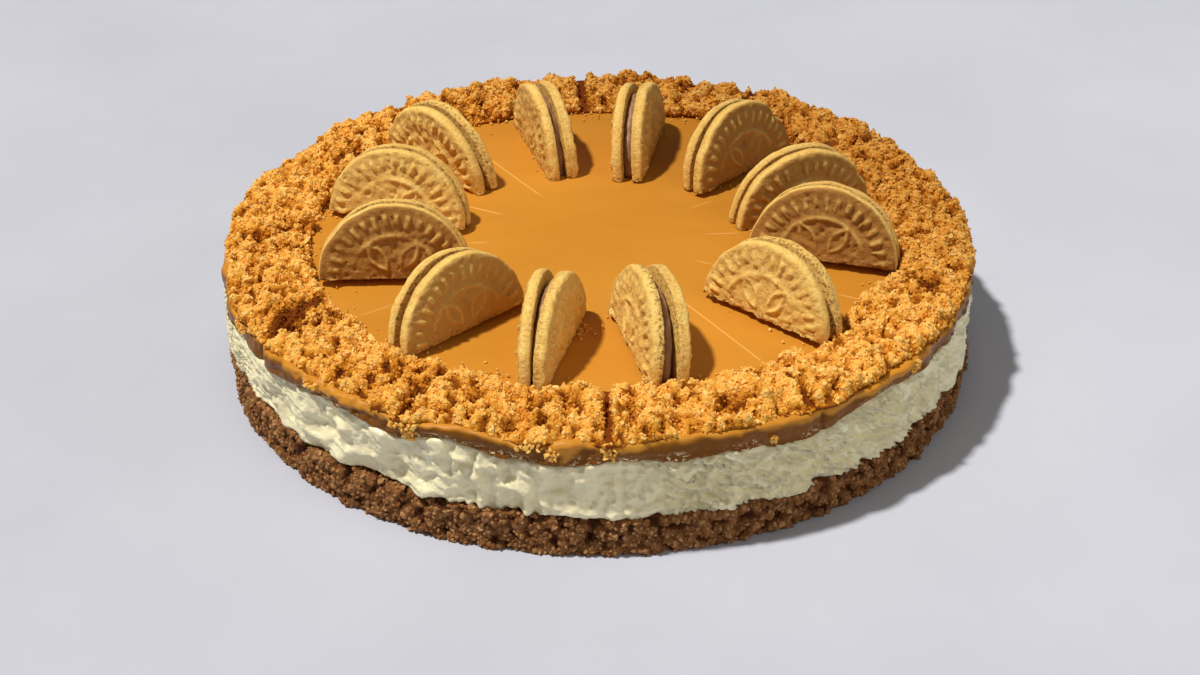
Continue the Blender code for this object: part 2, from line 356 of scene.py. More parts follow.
def creamFillingMaterial(look):
    # Soft cheese cream: wet gloss on its ridges, a little light through it
    material, tree, shader = newMaterial("cream filling", {
        "Roughness": look["roughness"],
        "Specular IOR Level": look["shine"],
        "Subsurface Weight": look["glow"],
        "Subsurface Radius": look["glowDepth"],
        "Subsurface Scale": 1.0,
    })
    cloudy = noiseNode(tree, look["cloud"], 3.0)
    tree.links.new(rampNode(tree, cloudy, look["stops"]), shader.inputs["Base Color"])
    fine = noiseNode(tree, look["fine"], 4.0, 0.6, (1.0, 1.0, 1.6))
    normal = bumpNode(tree, fine, look["bump"], look["fine"] * 0.25)
    ripple = noiseNode(tree, look["ripple"], 3.0, 0.5, (1.0, 1.0, 1.4))
    normal = bumpNode(tree, ripple, look["bump"], look["ripple"] * 0.25, normal)
    tree.links.new(normal, shader.inputs["Normal"])
    return material


creamFillingFinish = creamFillingMaterial({
    "roughness": 0.28,
    "shine": 0.7,
    "glow": 0.12,
    "glowDepth": (0.0025, 0.0020, 0.0011),
    "cloud": 12.0 * mm,
    "fine": 1.1 * mm,
    "ripple": 3.0 * mm,
    "bump": 0.8,
    "stops": ((0.30, (0.880, 0.790, 0.490)), (0.70, (0.950, 0.875, 0.590))),
})


def toppingMaterial(look):
    # Smooth caramel: faint streaks from spreading, darker and wetter on its side, the darker brown partly its
    # own and partly painted shade, golden above it as painted light, with smears of filling that also stand
    # for painted glints of wet highlight
    material, tree, shader = newMaterial("caramel", {})
    streaks = noiseNode(tree, look["streak"], 3.0, 0.5, (0.35, 1.0, 1.0))
    colour = rampNode(tree, streaks, look["stops"])
    edge = attributeNode(tree, "lowerEdge")
    # the darker lower side: partly the caramel's own colour and partly painted shade
    colour = mixNode(tree, edge, colour, look["edgeColour"])
    scored = attributeNode(tree, "scored")
    colour = mixNode(tree, scored, colour, look["scoreColour"])
    # flecks of filling, partly painted glints of wet highlight
    flecksAndGlints = rangeNode(tree, noiseNode(tree, look["fleck"], 2.0, 0.5, (1.0, 1.0, 1.6)), 0.56, 0.62)
    flecksAndGlints = mathNode(tree, "MULTIPLY", flecksAndGlints, attributeNode(tree, "smeared"))
    colour = mixNode(tree, flecksAndGlints, colour, look["fleckAndGlintColour"])
    tree.links.new(paintedFarShade(tree, colour, look["far"]), shader.inputs["Base Color"])
    roughness = rangeNode(tree, edge, 0.0, 1.0, look["roughness"], look["edgeRoughness"])
    tree.links.new(roughness, shader.inputs["Roughness"])
    shine = rangeNode(tree, edge, 0.0, 1.0, look["shine"], look["edgeShine"])
    tree.links.new(shine, shader.inputs["Specular IOR Level"])
    soft = noiseNode(tree, look["soft"], 3.0)
    tree.links.new(bumpNode(tree, soft, look["bump"], look["soft"] * 0.1), shader.inputs["Normal"])
    return material


toppingFinish = toppingMaterial({
    "roughness": 0.42,
    "edgeRoughness": 0.3,
    "shine": 0.15,
    "edgeShine": 0.12,
    "fleck": 1.3 * mm,
    # fleck colour: filling smears and painted glints of wet highlight
    "fleckAndGlintColour": (0.860, 0.700, 0.420),
    "streak": 26.0 * mm,
    "soft": 5.0 * mm,
    "bump": 0.2,
    # far: the tint of the painted shade on the cake's far side
    "far": (0.68, 0.65, 0.62),
    "stops": ((0.30, (0.560, 0.230, 0.022)), (0.70, (0.625, 0.268, 0.032))),
    # edgeColour: the darker lower side, partly its own brown and partly painted shade
    "edgeColour": (0.205, 0.071, 0.006),
    "scoreColour": (0.760, 0.420, 0.110),
})


def biscuitMaterial(look):
    # Baked biscuit: mottled, browner on its faces, with painted light that leaves the rim and the raised
    # relief paler, and dark pores on cut and bottom edges
    material, tree, shader = newMaterial("biscuit", {
        "Roughness": look["roughness"],
        "Specular IOR Level": 0.2,
    })
    mottle = noiseNode(tree, look["mottle"], 5.0, 0.65)
    colour = rampNode(tree, mottle, look["stops"])
    browned = mathNode(tree, "MULTIPLY", attributeNode(tree, "browned"), look["browning"])
    colour = mixNode(tree, browned, colour, look["brown"])
    poreSpots = rangeNode(tree, noiseNode(tree, look["pore"], 2.0, 0.6), 0.36, 0.46, 1.0, 0.0)
    pores = mathNode(tree, "MULTIPLY", poreSpots, attributeNode(tree, "porous"))
    colour = mixNode(tree, pores, colour, look["poreColour"])
    fine = noiseNode(tree, look["fine"], 4.0, 0.7)
    specks = rangeNode(tree, fine, 0.36, 0.52, look["speckShade"], 0.0)
    colour = mixNode(tree, specks, colour, look["speckColour"])
    tree.links.new(paintedFarShade(tree, colour, look["far"]), shader.inputs["Base Color"])
    normal = bumpNode(tree, fine, 1.0, look["fine"] * 0.5)
    coarse = noiseNode(tree, look["coarse"], 3.0, 0.6)
    normal = bumpNode(tree, coarse, 0.8, look["coarse"] * 0.22, normal)
    inverted = mathNode(tree, "SUBTRACT", 1.0, pores)
    tree.links.new(bumpNode(tree, inverted, 0.9, 0.35 * mm, normal), shader.inputs["Normal"])
    return material


biscuitFinish = biscuitMaterial({
    "roughness": 0.72,
    "mottle": 4.0 * mm,
    "pore": 1.0 * mm,
    "fine": 0.9 * mm,
    "coarse": 2.4 * mm,
    # far: the tint of the painted shade on the cake's far side
    "far": (0.76, 0.74, 0.72),
    "speckShade": 0.42,
    "speckColour": (0.520, 0.235, 0.050),
    "browning": 0.6,
    "brown": (0.400, 0.185, 0.040),
    "poreColour": (0.300, 0.130, 0.028),
    "stops": (
        (0.25, (0.880, 0.510, 0.122)), (0.50, (0.990, 0.655, 0.180)), (0.78, (1.000, 0.765, 0.270)),
    ),
})


def sandwichCreamMaterial(look):
    material, tree, shader = newMaterial("sandwich cream", {"Roughness": look["roughness"]})
    patchy = noiseNode(tree, look["patch"], 3.0)
    tree.links.new(rampNode(tree, patchy, look["stops"]), shader.inputs["Base Color"])
    tree.links.new(bumpNode(tree, patchy, 0.5, 0.5 * mm), shader.inputs["Normal"])
    return material


sandwichCreamFinish = sandwichCreamMaterial({
    "roughness": 0.5,
    "patch": 2.5 * mm,
    "stops": ((0.3, (0.240, 0.120, 0.055)), (0.7, (0.370, 0.205, 0.105))),
})
print("materials made")


# Crumb base

baseShape = {
    "steps": 1080, "rows": 22,
    "rounding": 1.2 * mm,
    "relief": 1.6 * mm, "lumps": 6.0 * mm,
    "coarse": 1.6 * mm, "coarseSize": 3.0 * mm, "coarseReach": 0.76, "coarseMiddle": 0.7,
    "fine": 0.6 * mm, "fineSize": 1.6 * mm, "fineReach": 0.8, "fineMiddle": 0.6,
}


def makeBase(shape):
    around = stepsRound(shape["steps"])[None, :]
    radius = cake["baseRadius"]
    middleTop = cake["baseTop"] - cake["gap"]
    shares = np.linspace(1.0, 0.0, shape["rows"])[:, None]
    height = shares * (baseTopAt(around, radius) - cake["gap"])
    broad = onCylinder(around, radius, shares * 1.5 * shape["lumps"])
    places = onCylinder(around, radius, height)
    coarse = dome(cellField(places, shape["coarseSize"], 2.0), shape["coarseReach"])
    fine = dome(cellField(places, shape["fineSize"], 3.0), shape["fineReach"])
    push = shape["relief"] * noiseField(broad, shape["lumps"], 1.0)
    push += shape["coarse"] * (coarse - shape["coarseMiddle"]) + shape["fine"] * (fine - shape["fineMiddle"])
    bevel = np.maximum(0.0, 1.0 - np.minimum(1.0 - shares, shares * 2.0) * 8.0) ** 2
    side = onCylinder(around, radius + push - shape["rounding"] * bevel, height)
    upper = onCylinder(around, cake["rimStart"], middleTop)
    lower = onCylinder(around, cake["rimStart"], 0.0)
    points = np.concatenate((upper, side, lower))
    piece = turnedPiece("crumbBase", points, middleTop, 0.0, baseCrumbFinish)
    sideRows = slice(1, -1)
    addRowValues(piece, "strewn", points, sideRows, np.clip((coarse - 0.05) * 2.0, 0.25, 1.0))
    # painted shade: the tone is lower between the coarse lumps
    addRowValues(piece, "raised", points, sideRows, 0.2 + 0.8 * coarse)
    return piece


crumbBase = makeBase(baseShape)
print("crumb base made")


# Cream filling

fillingShape = {
    "steps": 1500, "rows": 46,
    "rounding": 1.3 * mm,
    "waver": 1.1 * mm, "waverSize": 7.0 * mm, "fineWaver": 0.5 * mm, "fineWaverSize": 2.6 * mm,
    "warp": 2.0 * mm, "warpSize": 6.0 * mm, "fineWarpSize": 2.0 * mm,
    "relief": 2.4 * mm, "reliefSize": 11.0 * mm,
    "scoop": 3.8 * mm, "scoopSize": 8.0 * mm,
    "dent": 1.5 * mm, "dentSize": 4.0 * mm,
    "ridge": 2.6 * mm, "ridgeSize": 3.4 * mm,
    "wrinkle": 3.4 * mm, "wrinkleSize": 2.6 * mm, "wrinklePitch": 22.0,
    "fine": 0.5 * mm, "fineSize": 2.0 * mm,
    "overhang": 0.6 * mm,
    # places where the filling stops short of the base: azimuth, gap in millimetres, half width in degrees
    "stepsUp": ((266.5, 0.9, 5.5), (305.0, 1.3, 3.5), (236.0, 0.8, 3.0)),
}
# Kinds of surface round the side: azimuth, half width and strength of each
smearZones = (
    (231, 16, 1.0), (251, 9, 1.0), (267, 8, 0.6), (285, 8, 0.35), (40, 60, 0.7), (150, 40, 0.8),
    (345, 20, 0.6),
)
ridgeZones = ((256, 8, 1.3), (273, 6, 0.6), (100, 30, 0.6))
wrinkleZones = ((310, 26, 1.0), (288, 10, 0.7), (190, 25, 0.7))


def zoneStrength(azimuth, zones):
    return np.minimum(1.0, sum(strength * hump(azimuth, centre, width) for centre, width, strength in zones))


def makeFilling(shape):
    around = stepsRound(shape["steps"])[None, :]
    radius = cake["fillingRadius"]
    shares = np.linspace(1.0, 0.0, shape["rows"])[:, None]
    top = fillingTopAt(around, radius) - cake["gap"]
    rim = onCylinder(around, radius, 0.0)
    bottom = baseTopAt(around, radius)
    bottom = bottom + shape["waver"] * (noiseField(rim, shape["waverSize"], 31.0) - 0.3)
    bottom = bottom + shape["fineWaver"] * noiseField(rim, shape["fineWaverSize"], 32.0)
    for centre, rise, width in shape["stepsUp"]:
        bottom = bottom + rise * mm * clamp(1.6 * (1.0 - angleApart(around, centre) / width))
    height = bottom + shares * (top - bottom)
    smear = zoneStrength(around, smearZones)
    ridge = zoneStrength(around, ridgeZones)
    wrinkle = zoneStrength(around, wrinkleZones)

    broad = onCylinder(around, radius, shares * 1.5 * shape["reliefSize"])
    places = onCylinder(around, radius, height)
    warp = warpField(places, shape["warpSize"], 11.0) + 0.4 * warpField(places, shape["fineWarpSize"], 21.0)
    warped = places + shape["warp"] * warp
    scoops = cellField(warped, shape["scoopSize"], 14.0, (1.4, 1.4, 1.0))
    dents = cellField(warped, shape["dentSize"], 15.0, (1.5, 1.5, 1.0))
    folds = noiseField(warped, shape["ridgeSize"], 16.0, (1.0, 1.0, 4.0))
    aslant = twisted(warped, shape["wrinklePitch"])
    dashes = 1.0 - np.abs(noiseField(aslant, shape["wrinkleSize"], 17.0, (2.6, 2.6, 1.0)))
    grain = noiseField(warped, shape["fineSize"], 18.0, (1.3, 1.3, 1.0))
    push = shape["relief"] * noiseField(broad, shape["reliefSize"], 4.0)
    push += shape["scoop"] * smear * (scoops ** 1.5 - 0.35)
    push += shape["dent"] * (0.6 + 0.5 * smear) * (dents - 0.5)
    push += shape["ridge"] * ridge * folds
    push += shape["wrinkle"] * wrinkle * (dashes ** 5 - 0.3)
    push += shape["fine"] * grain * (0.4 + 0.4 * smear + 0.4 * wrinkle)

    edge = np.minimum(shares, 1.0 - shares)
    bevel = np.maximum(0.0, 1.0 - edge * 14.0) ** 2
    wall = np.minimum(radius + push - shape["rounding"] * bevel, cake["radius"] + shape["overhang"])
    middleTop = cake["fillingTop"] - cake["gap"]
    points = np.concatenate((
        onCylinder(around, cake["rimStart"], middleTop),
        onCylinder(around, wall, height),
        onCylinder(around, cake["rimStart"], cake["baseTop"]),
    ))
    return turnedPiece("creamFilling", points, middleTop, cake["baseTop"], creamFillingFinish)


creamFilling = makeFilling(fillingShape)
print("cream filling made")


# Caramel topping

toppingShape = {
    "steps": 1150, "innerRows": 40, "sideRows": 16,
    "bend": 0.7 * mm,
    "relief": 1.3 * mm, "waves": 14.0 * mm,
    "folds": 0.7 * mm, "foldSize": 8.0 * mm,
    "grainSize": 2.4 * mm, "tear": 0.7 * mm, "tearSize": 4.5 * mm,
    "dips": 0.18 * mm, "dipSize": 30.0 * mm,
    "scoreDepth": 0.22 * mm, "scoreWidth": 0.26 * mm, "scoreFade": 2.0 * mm,
    "nickDepth": 1.1 * mm, "nickWidth": 0.35,
    "lipWidth": 4.5 * mm, "lipSlope": 2.4 * mm, "lipOut": 0.1 * mm, "hollow": 0.5 * mm,
    "lipWaver": 0.4 * mm, "lipTear": 0.9 * mm,
    "lowWaver": 0.7 * mm, "lowFineWaver": 0.5 * mm, "lowest": -0.35 * mm,
    # a chunk of topping that stands out of the side, its azimuth and half width in degrees
    "chunkAt": 265.2, "chunkWidth": 2.6, "chunk": 0.9 * mm,
}
# Where the topping hangs lower over the filling: azimuth, height in millimetres, half width in degrees
lowPlaces = ((265.5, 0.9, 2.2), (273.0, 0.9, 1.5), (296.0, 0.9, 3.0))
# Where the rim of the topping stands up: azimuth, height in millimetres, half width in degrees
lipRises = (
    (221, 1.3, 7), (233, 1.8, 6), (250, 1.9, 6), (266, 1.6, 3), (282, 1.1, 7), (293, 0.8, 4), (307, -0.5, 5),
    (322, 0.9, 9), (350, 0.6, 10), (30, 0.9, 12), (60, 1.1, 14), (110, 0.7, 14), (140, 1.2, 12),
    (185, 1.0, 14),
)
# Lines scored in the topping where the cuts run out: azimuth, then radius from and to in millimetres
scoreLines = (
    (123.5, 36, 72), (153.0, 37, 53), (182.7, 95, 103), (184.5, 37, 45), (213.5, 79, 92), (33.0, 37, 48),
    (2.5, 36, 49), (333.0, 36, 43), (302.0, 50, 99), (333.0, 87, 99),
)
# Where the topping's side stays golden further down, as painted light where the light falls on it: azimuth,
# share of its height, half width in degrees
paintedLightSides = (
    (231, 0.42, 9), (265.5, 0.5, 2.2), (274, 0.25, 2.5), (315, 0.30, 14), (150, 0.3, 20), (50, 0.2, 20),
)
# Where the topping's side broke off ragged: azimuth, half width in degrees, strength
raggedZones = ((231, 9, 1.0), (262, 5, 0.8), (269, 2, 0.6), (150, 20, 0.6), (50, 20, 0.5), (345, 8, 0.5))
# Where filling is smeared on the topping's lower edge, with painted glints of wet highlight among it:
# azimuth, share, half width in degrees
smearAndGlintPlaces = (
    (229, 0.8, 5), (246, 1.0, 4), (257, 0.9, 4), (268, 1.0, 2), (274, 1.0, 1.6), (280, 1.0, 2), (290, 0.8, 2),
    (300, 0.7, 2), (312, 0.6, 3), (60, 0.7, 20), (130, 0.7, 14), (190, 0.7, 12),
)
# Crumbs stuck on the topping's side: azimuth, height in millimetres, half width in degrees, half height
sideCrumbs = (
    (242.6, 39.0, 2.2, 2.2), (243.2, 35.5, 1.3, 2.6), (260.8, 39.4, 1.6, 1.6), (263.8, 37.0, 0.8, 2.4),
    (271.3, 38.0, 1.0, 3.4), (294.0, 35.6, 0.7, 1.4), (320.5, 38.0, 1.2, 2.0), (226.0, 39.5, 1.8, 1.2),
    (40.0, 38.5, 3.0, 2.0), (118.0, 38.5, 2.6, 2.4), (165.0, 38.5, 3.0, 2.0), (205.0, 38.5, 1.8, 1.8),
)


def scoredAt(shape, around, radius):
    # How deep the scored lines are at each point, from 0 to 1
    scored = np.zeros(radius.shape)
    for line, start, end in scoreLines:
        across = np.radians(angleApart(around, line)) * radius
        startsIn = clamp((radius - start * mm) / shape["scoreFade"])
        along = startsIn * clamp((end * mm - radius) / shape["scoreFade"])
        scored = np.maximum(scored, along * np.exp(-((across / shape["scoreWidth"]) ** 2)))
    return scored


def makeTopping(shape):
    extra = [line[0] + shift for line in scoreLines for shift in (-0.5, -0.3, -0.15, 0.0, 0.15, 0.3, 0.5)]
    around = np.unique(np.round(np.concatenate((stepsRound(shape["steps"]), extra)), 3))[None, :]
    top, radius = cake["toppingTop"], cake["radius"]
    inner = np.concatenate((
        np.linspace(3.0 * mm, radius - 5.0 * mm, shape["innerRows"]),
        radius - np.array((4.2, 3.4, 2.7, 2.1)) * mm,
    ))[:, None]
    inner = np.broadcast_to(inner, (len(inner), around.shape[1]))
    flat = onCylinder(around, inner, top)
    inside = clamp((radius - inner) / (15.0 * mm))
    scored = scoredAt(shape, around, inner)
    flat[..., 2] += shape["dips"] * inside * (noiseField(flat, shape["dipSize"], 41.0) - 0.6)
    flat[..., 2] -= shape["scoreDepth"] * scored

    # the rim's upper and lower edge
    rim = onCylinder(around, radius, 0.0)
    ragged = zoneStrength(around, raggedZones)
    lip = swell(around, lipRises) + shape["lipWaver"] * noiseField(rim, 5.0 * mm, 47.0)
    lip += shape["lipTear"] * ragged * noiseField(rim, 2.8 * mm, 50.0)
    flat[..., 2] += lip * clamp((inner - radius + shape["lipWidth"]) / shape["lipSlope"])
    low = fillingTopAt(around, radius) + shape["lowest"] + shape["lowWaver"] * noiseField(rim, 4.5 * mm, 42.0)
    low = low + shape["lowFineWaver"] * noiseField(rim, 1.8 * mm, 43.0) - swell(around, lowPlaces)
    shares = np.linspace(0.0, 1.0, shape["sideRows"])[:, None]
    edgeTop = top + lip
    height = edgeTop + shares * (low - edgeTop)

    # the side between them
    below = np.maximum(0.0, 1.0 - (edgeTop - height) / shape["bend"])
    over = np.maximum(0.0, 1.0 - (height - low) / shape["bend"])
    bevel = below ** 2 * 0.7 * mm + over ** 2 * 0.6 * mm
    places = onCylinder(around, radius, height)
    broad = onCylinder(around, radius, (1.0 - shares) * 1.5 * shape["waves"])
    waver = 0.16 * noiseField(rim, 9.0 * mm, 48.0) + 0.08 * noiseField(rim, 3.0 * mm, 49.0)
    push = shape["relief"] * noiseField(broad, shape["waves"], 7.0)
    push += shape["folds"] * np.tanh(3.0 * noiseField(places, shape["foldSize"], 44.0, (1.0, 1.0, 1.6)))
    push += (0.35 + 0.75 * ragged) * mm * noiseField(places, shape["grainSize"], 45.0)
    push += shape["tear"] * ragged * (noiseField(places, shape["tearSize"], 40.0, (1.0, 1.0, 0.6)) - 0.2)
    push += shape["lipOut"] * np.exp(-(((shares - 0.20 - waver) / 0.2) ** 2))
    push -= shape["hollow"] * np.exp(-(((shares - 0.74 - waver) / 0.2) ** 2))
    chunk = clamp((shape["chunkWidth"] - angleApart(around, shape["chunkAt"])) * 1.6)
    push += shape["chunk"] * chunk * (shares > 0.12) * (shares < 0.9)
    for cut in cake["cuts"]:
        push -= shape["nickDepth"] * hump(around, cut, shape["nickWidth"])
    wall = np.minimum(radius - 0.25 * mm + push - bevel, radius + 1.0 * mm)
    side = onCylinder(around, wall, height)
    points = np.concatenate((flat, side, onCylinder(around, cake["rimStart"], cake["fillingTop"])))
    piece = turnedPiece("caramelTopping", points, top - 0.1 * mm, cake["fillingTop"], toppingFinish)

    # what the material and the crumbs on the side need
    uneven = (0.10 + 0.35 * ragged) * noiseField(places, 3.0 * mm, 46.0)
    # how far down the side stays golden, as painted light
    paintedLightShare = 0.01 + swell(around, paintedLightSides) / mm
    # filling smeared on the lower side, partly painted glints of wet highlight
    smearsAndGlints = swell(around, smearAndGlintPlaces) / mm * clamp((shares - 0.5) * 4.0)
    strewn = np.zeros(height.shape)
    for centre, middle, width, rise in sideCrumbs:
        apart = angleApart(around, centre) / width
        strewn = np.maximum(strewn, np.exp(-(apart ** 2) - ((height / mm - middle) / rise) ** 2))
    sideRows = slice(len(inner), -1)
    # lowerEdge: 1 on the darker lower side, partly its own brown and partly painted shade, and 0 on the
    # golden painted light above it
    addRowValues(piece, "lowerEdge", points, sideRows, clamp((shares + uneven - waver - paintedLightShare) / 0.20), 1.0)
    addRowValues(piece, "smeared", points, sideRows, clamp(smearsAndGlints))
    addRowValues(piece, "strewn", points, sideRows, clamp(3.0 * strewn - 0.9))
    addRowValues(piece, "scored", points, slice(0, len(inner)), scored)
    addValues(piece, "raised", np.full(len(piece.data.vertices), 0.75))
    return piece


caramelTopping = makeTopping(toppingShape)
print("caramel topping made")


# Half sandwich biscuits: azimuth and radius of the foot's middle, direction of its foot line, lean to
# the left of that line, gap between its halves, and how far the halves open outwards
biscuits = (
    (106.3, 69.1, 107.1, 0.5, 2.8, 0.0), (137.4, 76.2, 134.1, 3.5, 2.2, 0.0),
    (168.8, 70.3, 162.0, -12.2, 1.8, 0.0), (201.8, 72.4, 182.4, -14.3, 2.4, 0.0),
    (232.8, 73.7, 223.2, -8.1, 2.4, 1.0), (258.1, 74.4, 257.8, -2.0, 3.2, -5.5),
    (281.3, 73.6, 285.5, 9.0, 3.8, 3.0), (315.0, 77.0, 317.1, 11.5, 2.8, 1.0),
    (346.5, 77.0, 342.8, 16.0, 2.2, 0.0), (13.8, 71.7, 23.0, -1.5, 1.8, 0.0),
    (44.4, 70.2, 46.7, 9.0, 2.0, 0.0), (76.6, 66.2, 78.8, 5.0, 3.4, 0.0),
)
biscuitShape = {
    "radius": 25.2 * mm, "thickness": 4.2 * mm, "creamRadius": 21.6 * mm,
    "columns": 168, "faceRows": 38, "innerRows": 12, "rimRows": 9, "footRows": 4,
    "outerRounding": 2.1 * mm, "innerRounding": 0.7 * mm, "boxiness": 0.75, "seam": -0.6 * mm,
    "sunk": 0.45 * mm,
    "bars": 17, "barHeight": 0.85 * mm, "barFrom": 0.70, "barTo": 0.89,
    "arcRadius": 0.58, "arcHeight": 0.75 * mm, "arcWidth": 0.75 * mm,
    "leafHeight": 0.7 * mm,
    "wobble": 0.5 * mm, "wobbleSize": 7.0 * mm,
    "wornSize": 9.0 * mm,
    "rough": 0.55 * mm, "roughSize": 6.0 * mm, "fineRough": 0.40 * mm, "fineRoughSize": 2.2 * mm,
    "pit": 2.4 * mm, "pitSize": 3.2 * mm,
    "pore": 0.5 * mm, "poreSize": 1.4 * mm,
    "seed": 12,
}
# How ragged the feet of single halves are
raggedFeet = {"08left": 1.0, "08right": 1.0, "07left": 0.6, "06right": 0.9, "02left": 0.5, "06left": 0.5}
# Notches in single rims: angle along the rim, half width in degrees, depth
rimNotches = {
    "11right": (141.0, 7.0, 1.7 * mm), "01left": (35.0, 6.0, 1.0 * mm), "10right": (150.0, 5.0, 0.9 * mm),
}
# Places broken out of single faces: x, z and radius in millimetres
brokenFaces = {"06right": (-13.0, 8.0, 3.4), "08left": (14.0, 2.0, 4.0), "02left": (4.0, 14.0, 1.6)}
# How much browner single faces are
brownerFaces = {
    "04left": 1.9, "05left": 1.1, "09right": 1.9, "10right": 1.2, "11right": 1.4, "12right": 0.9,
    "01left": 0.7, "06right": 0.8, "03left": 0.4,
}
# How porous single rims are
porousRims = {"02right": 0.7, "08left": 0.8, "07right": 0.9, "07left": 0.35, "06left": 0.4, "03left": 0.4}


def footMatrix(placing):
    azimuth, distance, heading, lean, gap, opening = placing
    rise = (gap * mm / 2.0 + biscuitShape["thickness"]) * abs(math.sin(math.radians(lean)))
    place = unitAt(azimuth) * distance * mm
    place.z = cake["toppingTop"] + cake["gap"] + rise - biscuitShape["sunk"]
    turned = Euler((-math.radians(lean), 0.0, math.radians(heading))).to_matrix().to_4x4()
    return Matrix.Translation(place) @ turned


def faceRelief(x, z, radius, phase):
    # Raised pattern of the outer face: short bars along the rim, an arc inside them and two leaves
    shape = biscuitShape
    distance = np.hypot(x, z)
    angle = np.arctan2(z, x)
    share = distance / radius
    wave = np.cos(angle * shape["bars"] * 2.0 + phase)
    bars = clamp(wave * 1.3 + 0.2)
    start = shape["barFrom"] + 0.04 * np.sin(np.round(angle * shape["bars"] / math.pi) * 2.3 + phase)
    ends = clamp((share - start) / 0.05) * clamp((shape["barTo"] - share) / 0.04)
    relief = shape["barHeight"] * bars * ends
    arc = np.exp(-(((distance - shape["arcRadius"] * radius) / shape["arcWidth"]) ** 2))
    fades = clamp((angle - 0.30) / 0.15) * clamp((math.pi - 0.30 - angle) / 0.15)
    relief += shape["arcHeight"] * arc * fades
    for middle in (0.31 * math.pi, 0.69 * math.pi):
        centreX, centreZ = 0.36 * radius * math.cos(middle), 0.36 * radius * math.sin(middle)
        along = (x - centreX) * math.cos(middle) + (z - centreZ) * math.sin(middle)
        across = -(x - centreX) * math.sin(middle) + (z - centreZ) * math.cos(middle)
        leaf = np.abs(across) / (2.6 * mm) + (along / (5.2 * mm)) ** 2
        relief += shape["leafHeight"] * np.exp(-(((leaf - 0.85) / 0.28) ** 2)) * (leaf < 1.6)
    pit = np.hypot(x, z - 0.40 * radius)
    relief -= 0.8 * mm * np.exp(-((pit / (1.1 * mm)) ** 2))
    return relief


def halfDisc(columns, radius, wobble, size, seed):
    # Angles along the rim of a half disc and its uneven reach at each
    angle = np.linspace(0.0, math.pi, columns)
    outline = np.stack((np.cos(angle), np.sin(angle), np.zeros_like(angle)), axis=-1) * radius
    return angle, radius + wobble * noiseField(outline, size, seed)


def halfSurface(angle, reach, rounding, depth, faceRows):
    # Rows from the foot's middle out over a face and round half of the rim, and their share of the depth
    shape = biscuitShape
    face = np.linspace(0.0, 1.0, faceRows, endpoint=False)[:, None] * (reach - rounding)
    bend = np.linspace(0.0, math.pi / 2.0, shape["rimRows"])[:, None]
    rim = reach - rounding + rounding * np.sin(bend) ** shape["boxiness"]
    distance = np.concatenate((face, rim))
    fall = np.concatenate((np.ones((faceRows, 1)), np.cos(bend) ** shape["boxiness"]))
    fall = np.broadcast_to(fall, distance.shape)
    depths = shape["seam"] + (depth - shape["seam"]) * fall
    points = np.stack((distance * np.cos(angle), depths, distance * np.sin(angle)), axis=-1)
    return points.reshape(-1, 3), fall.ravel()


def gridFaces(first, rows, columns, flip):
    # Faces between rows of points that don't close up
    faces = []
    for row in range(rows - 1):
        for column in range(columns - 1):
            corner = first + row * columns + column
            quad = (corner, corner + columns, corner + columns + 1, corner + 1)
            faces.append(quad[::-1] if flip else quad)
    return faces


def dressFace(points, solid, number, key, seed, radius):
    # Gives the outer face its relief, roughness and pits, and says how browned it is, with painted light: the
    # rim and the raised relief are left paler, as if lit
    shape = biscuitShape
    relief = faceRelief(points[:, 0], points[:, 2], radius, number * 1.7)
    worn = np.clip(0.90 + 1.3 * noiseField(points, shape["wornSize"], seed + 1.0), 0.15, 1.15)
    rough = shape["fineRough"] * noiseField(points, shape["fineRoughSize"], seed + 2.0)
    rough += shape["rough"] * noiseField(points, shape["roughSize"], seed + 3.0)
    pits = clamp(0.30 - cellField(points, shape["pitSize"], seed + 4.0)) * shape["pit"]
    raised = relief * worn * (solid > 0.98)
    if key in brokenFaces:
        brokenX, brokenZ, brokenRadius = (value * mm for value in brokenFaces[key])
        apart = np.hypot(points[:, 0] - brokenX, points[:, 2] - brokenZ) + 0.8 * rough
        pits = pits + 1.5 * mm * clamp(1.6 - 1.6 * apart / brokenRadius)
    points[:, 1] += (raised + rough - pits) * solid
    # painted light: paler on the rim and on the raised relief
    face = brownerFaces.get(key, 0.4) * clamp((solid - 0.6) / 0.3)
    return face * (1.0 - 0.5 * clamp(raised / (0.7 * mm)))


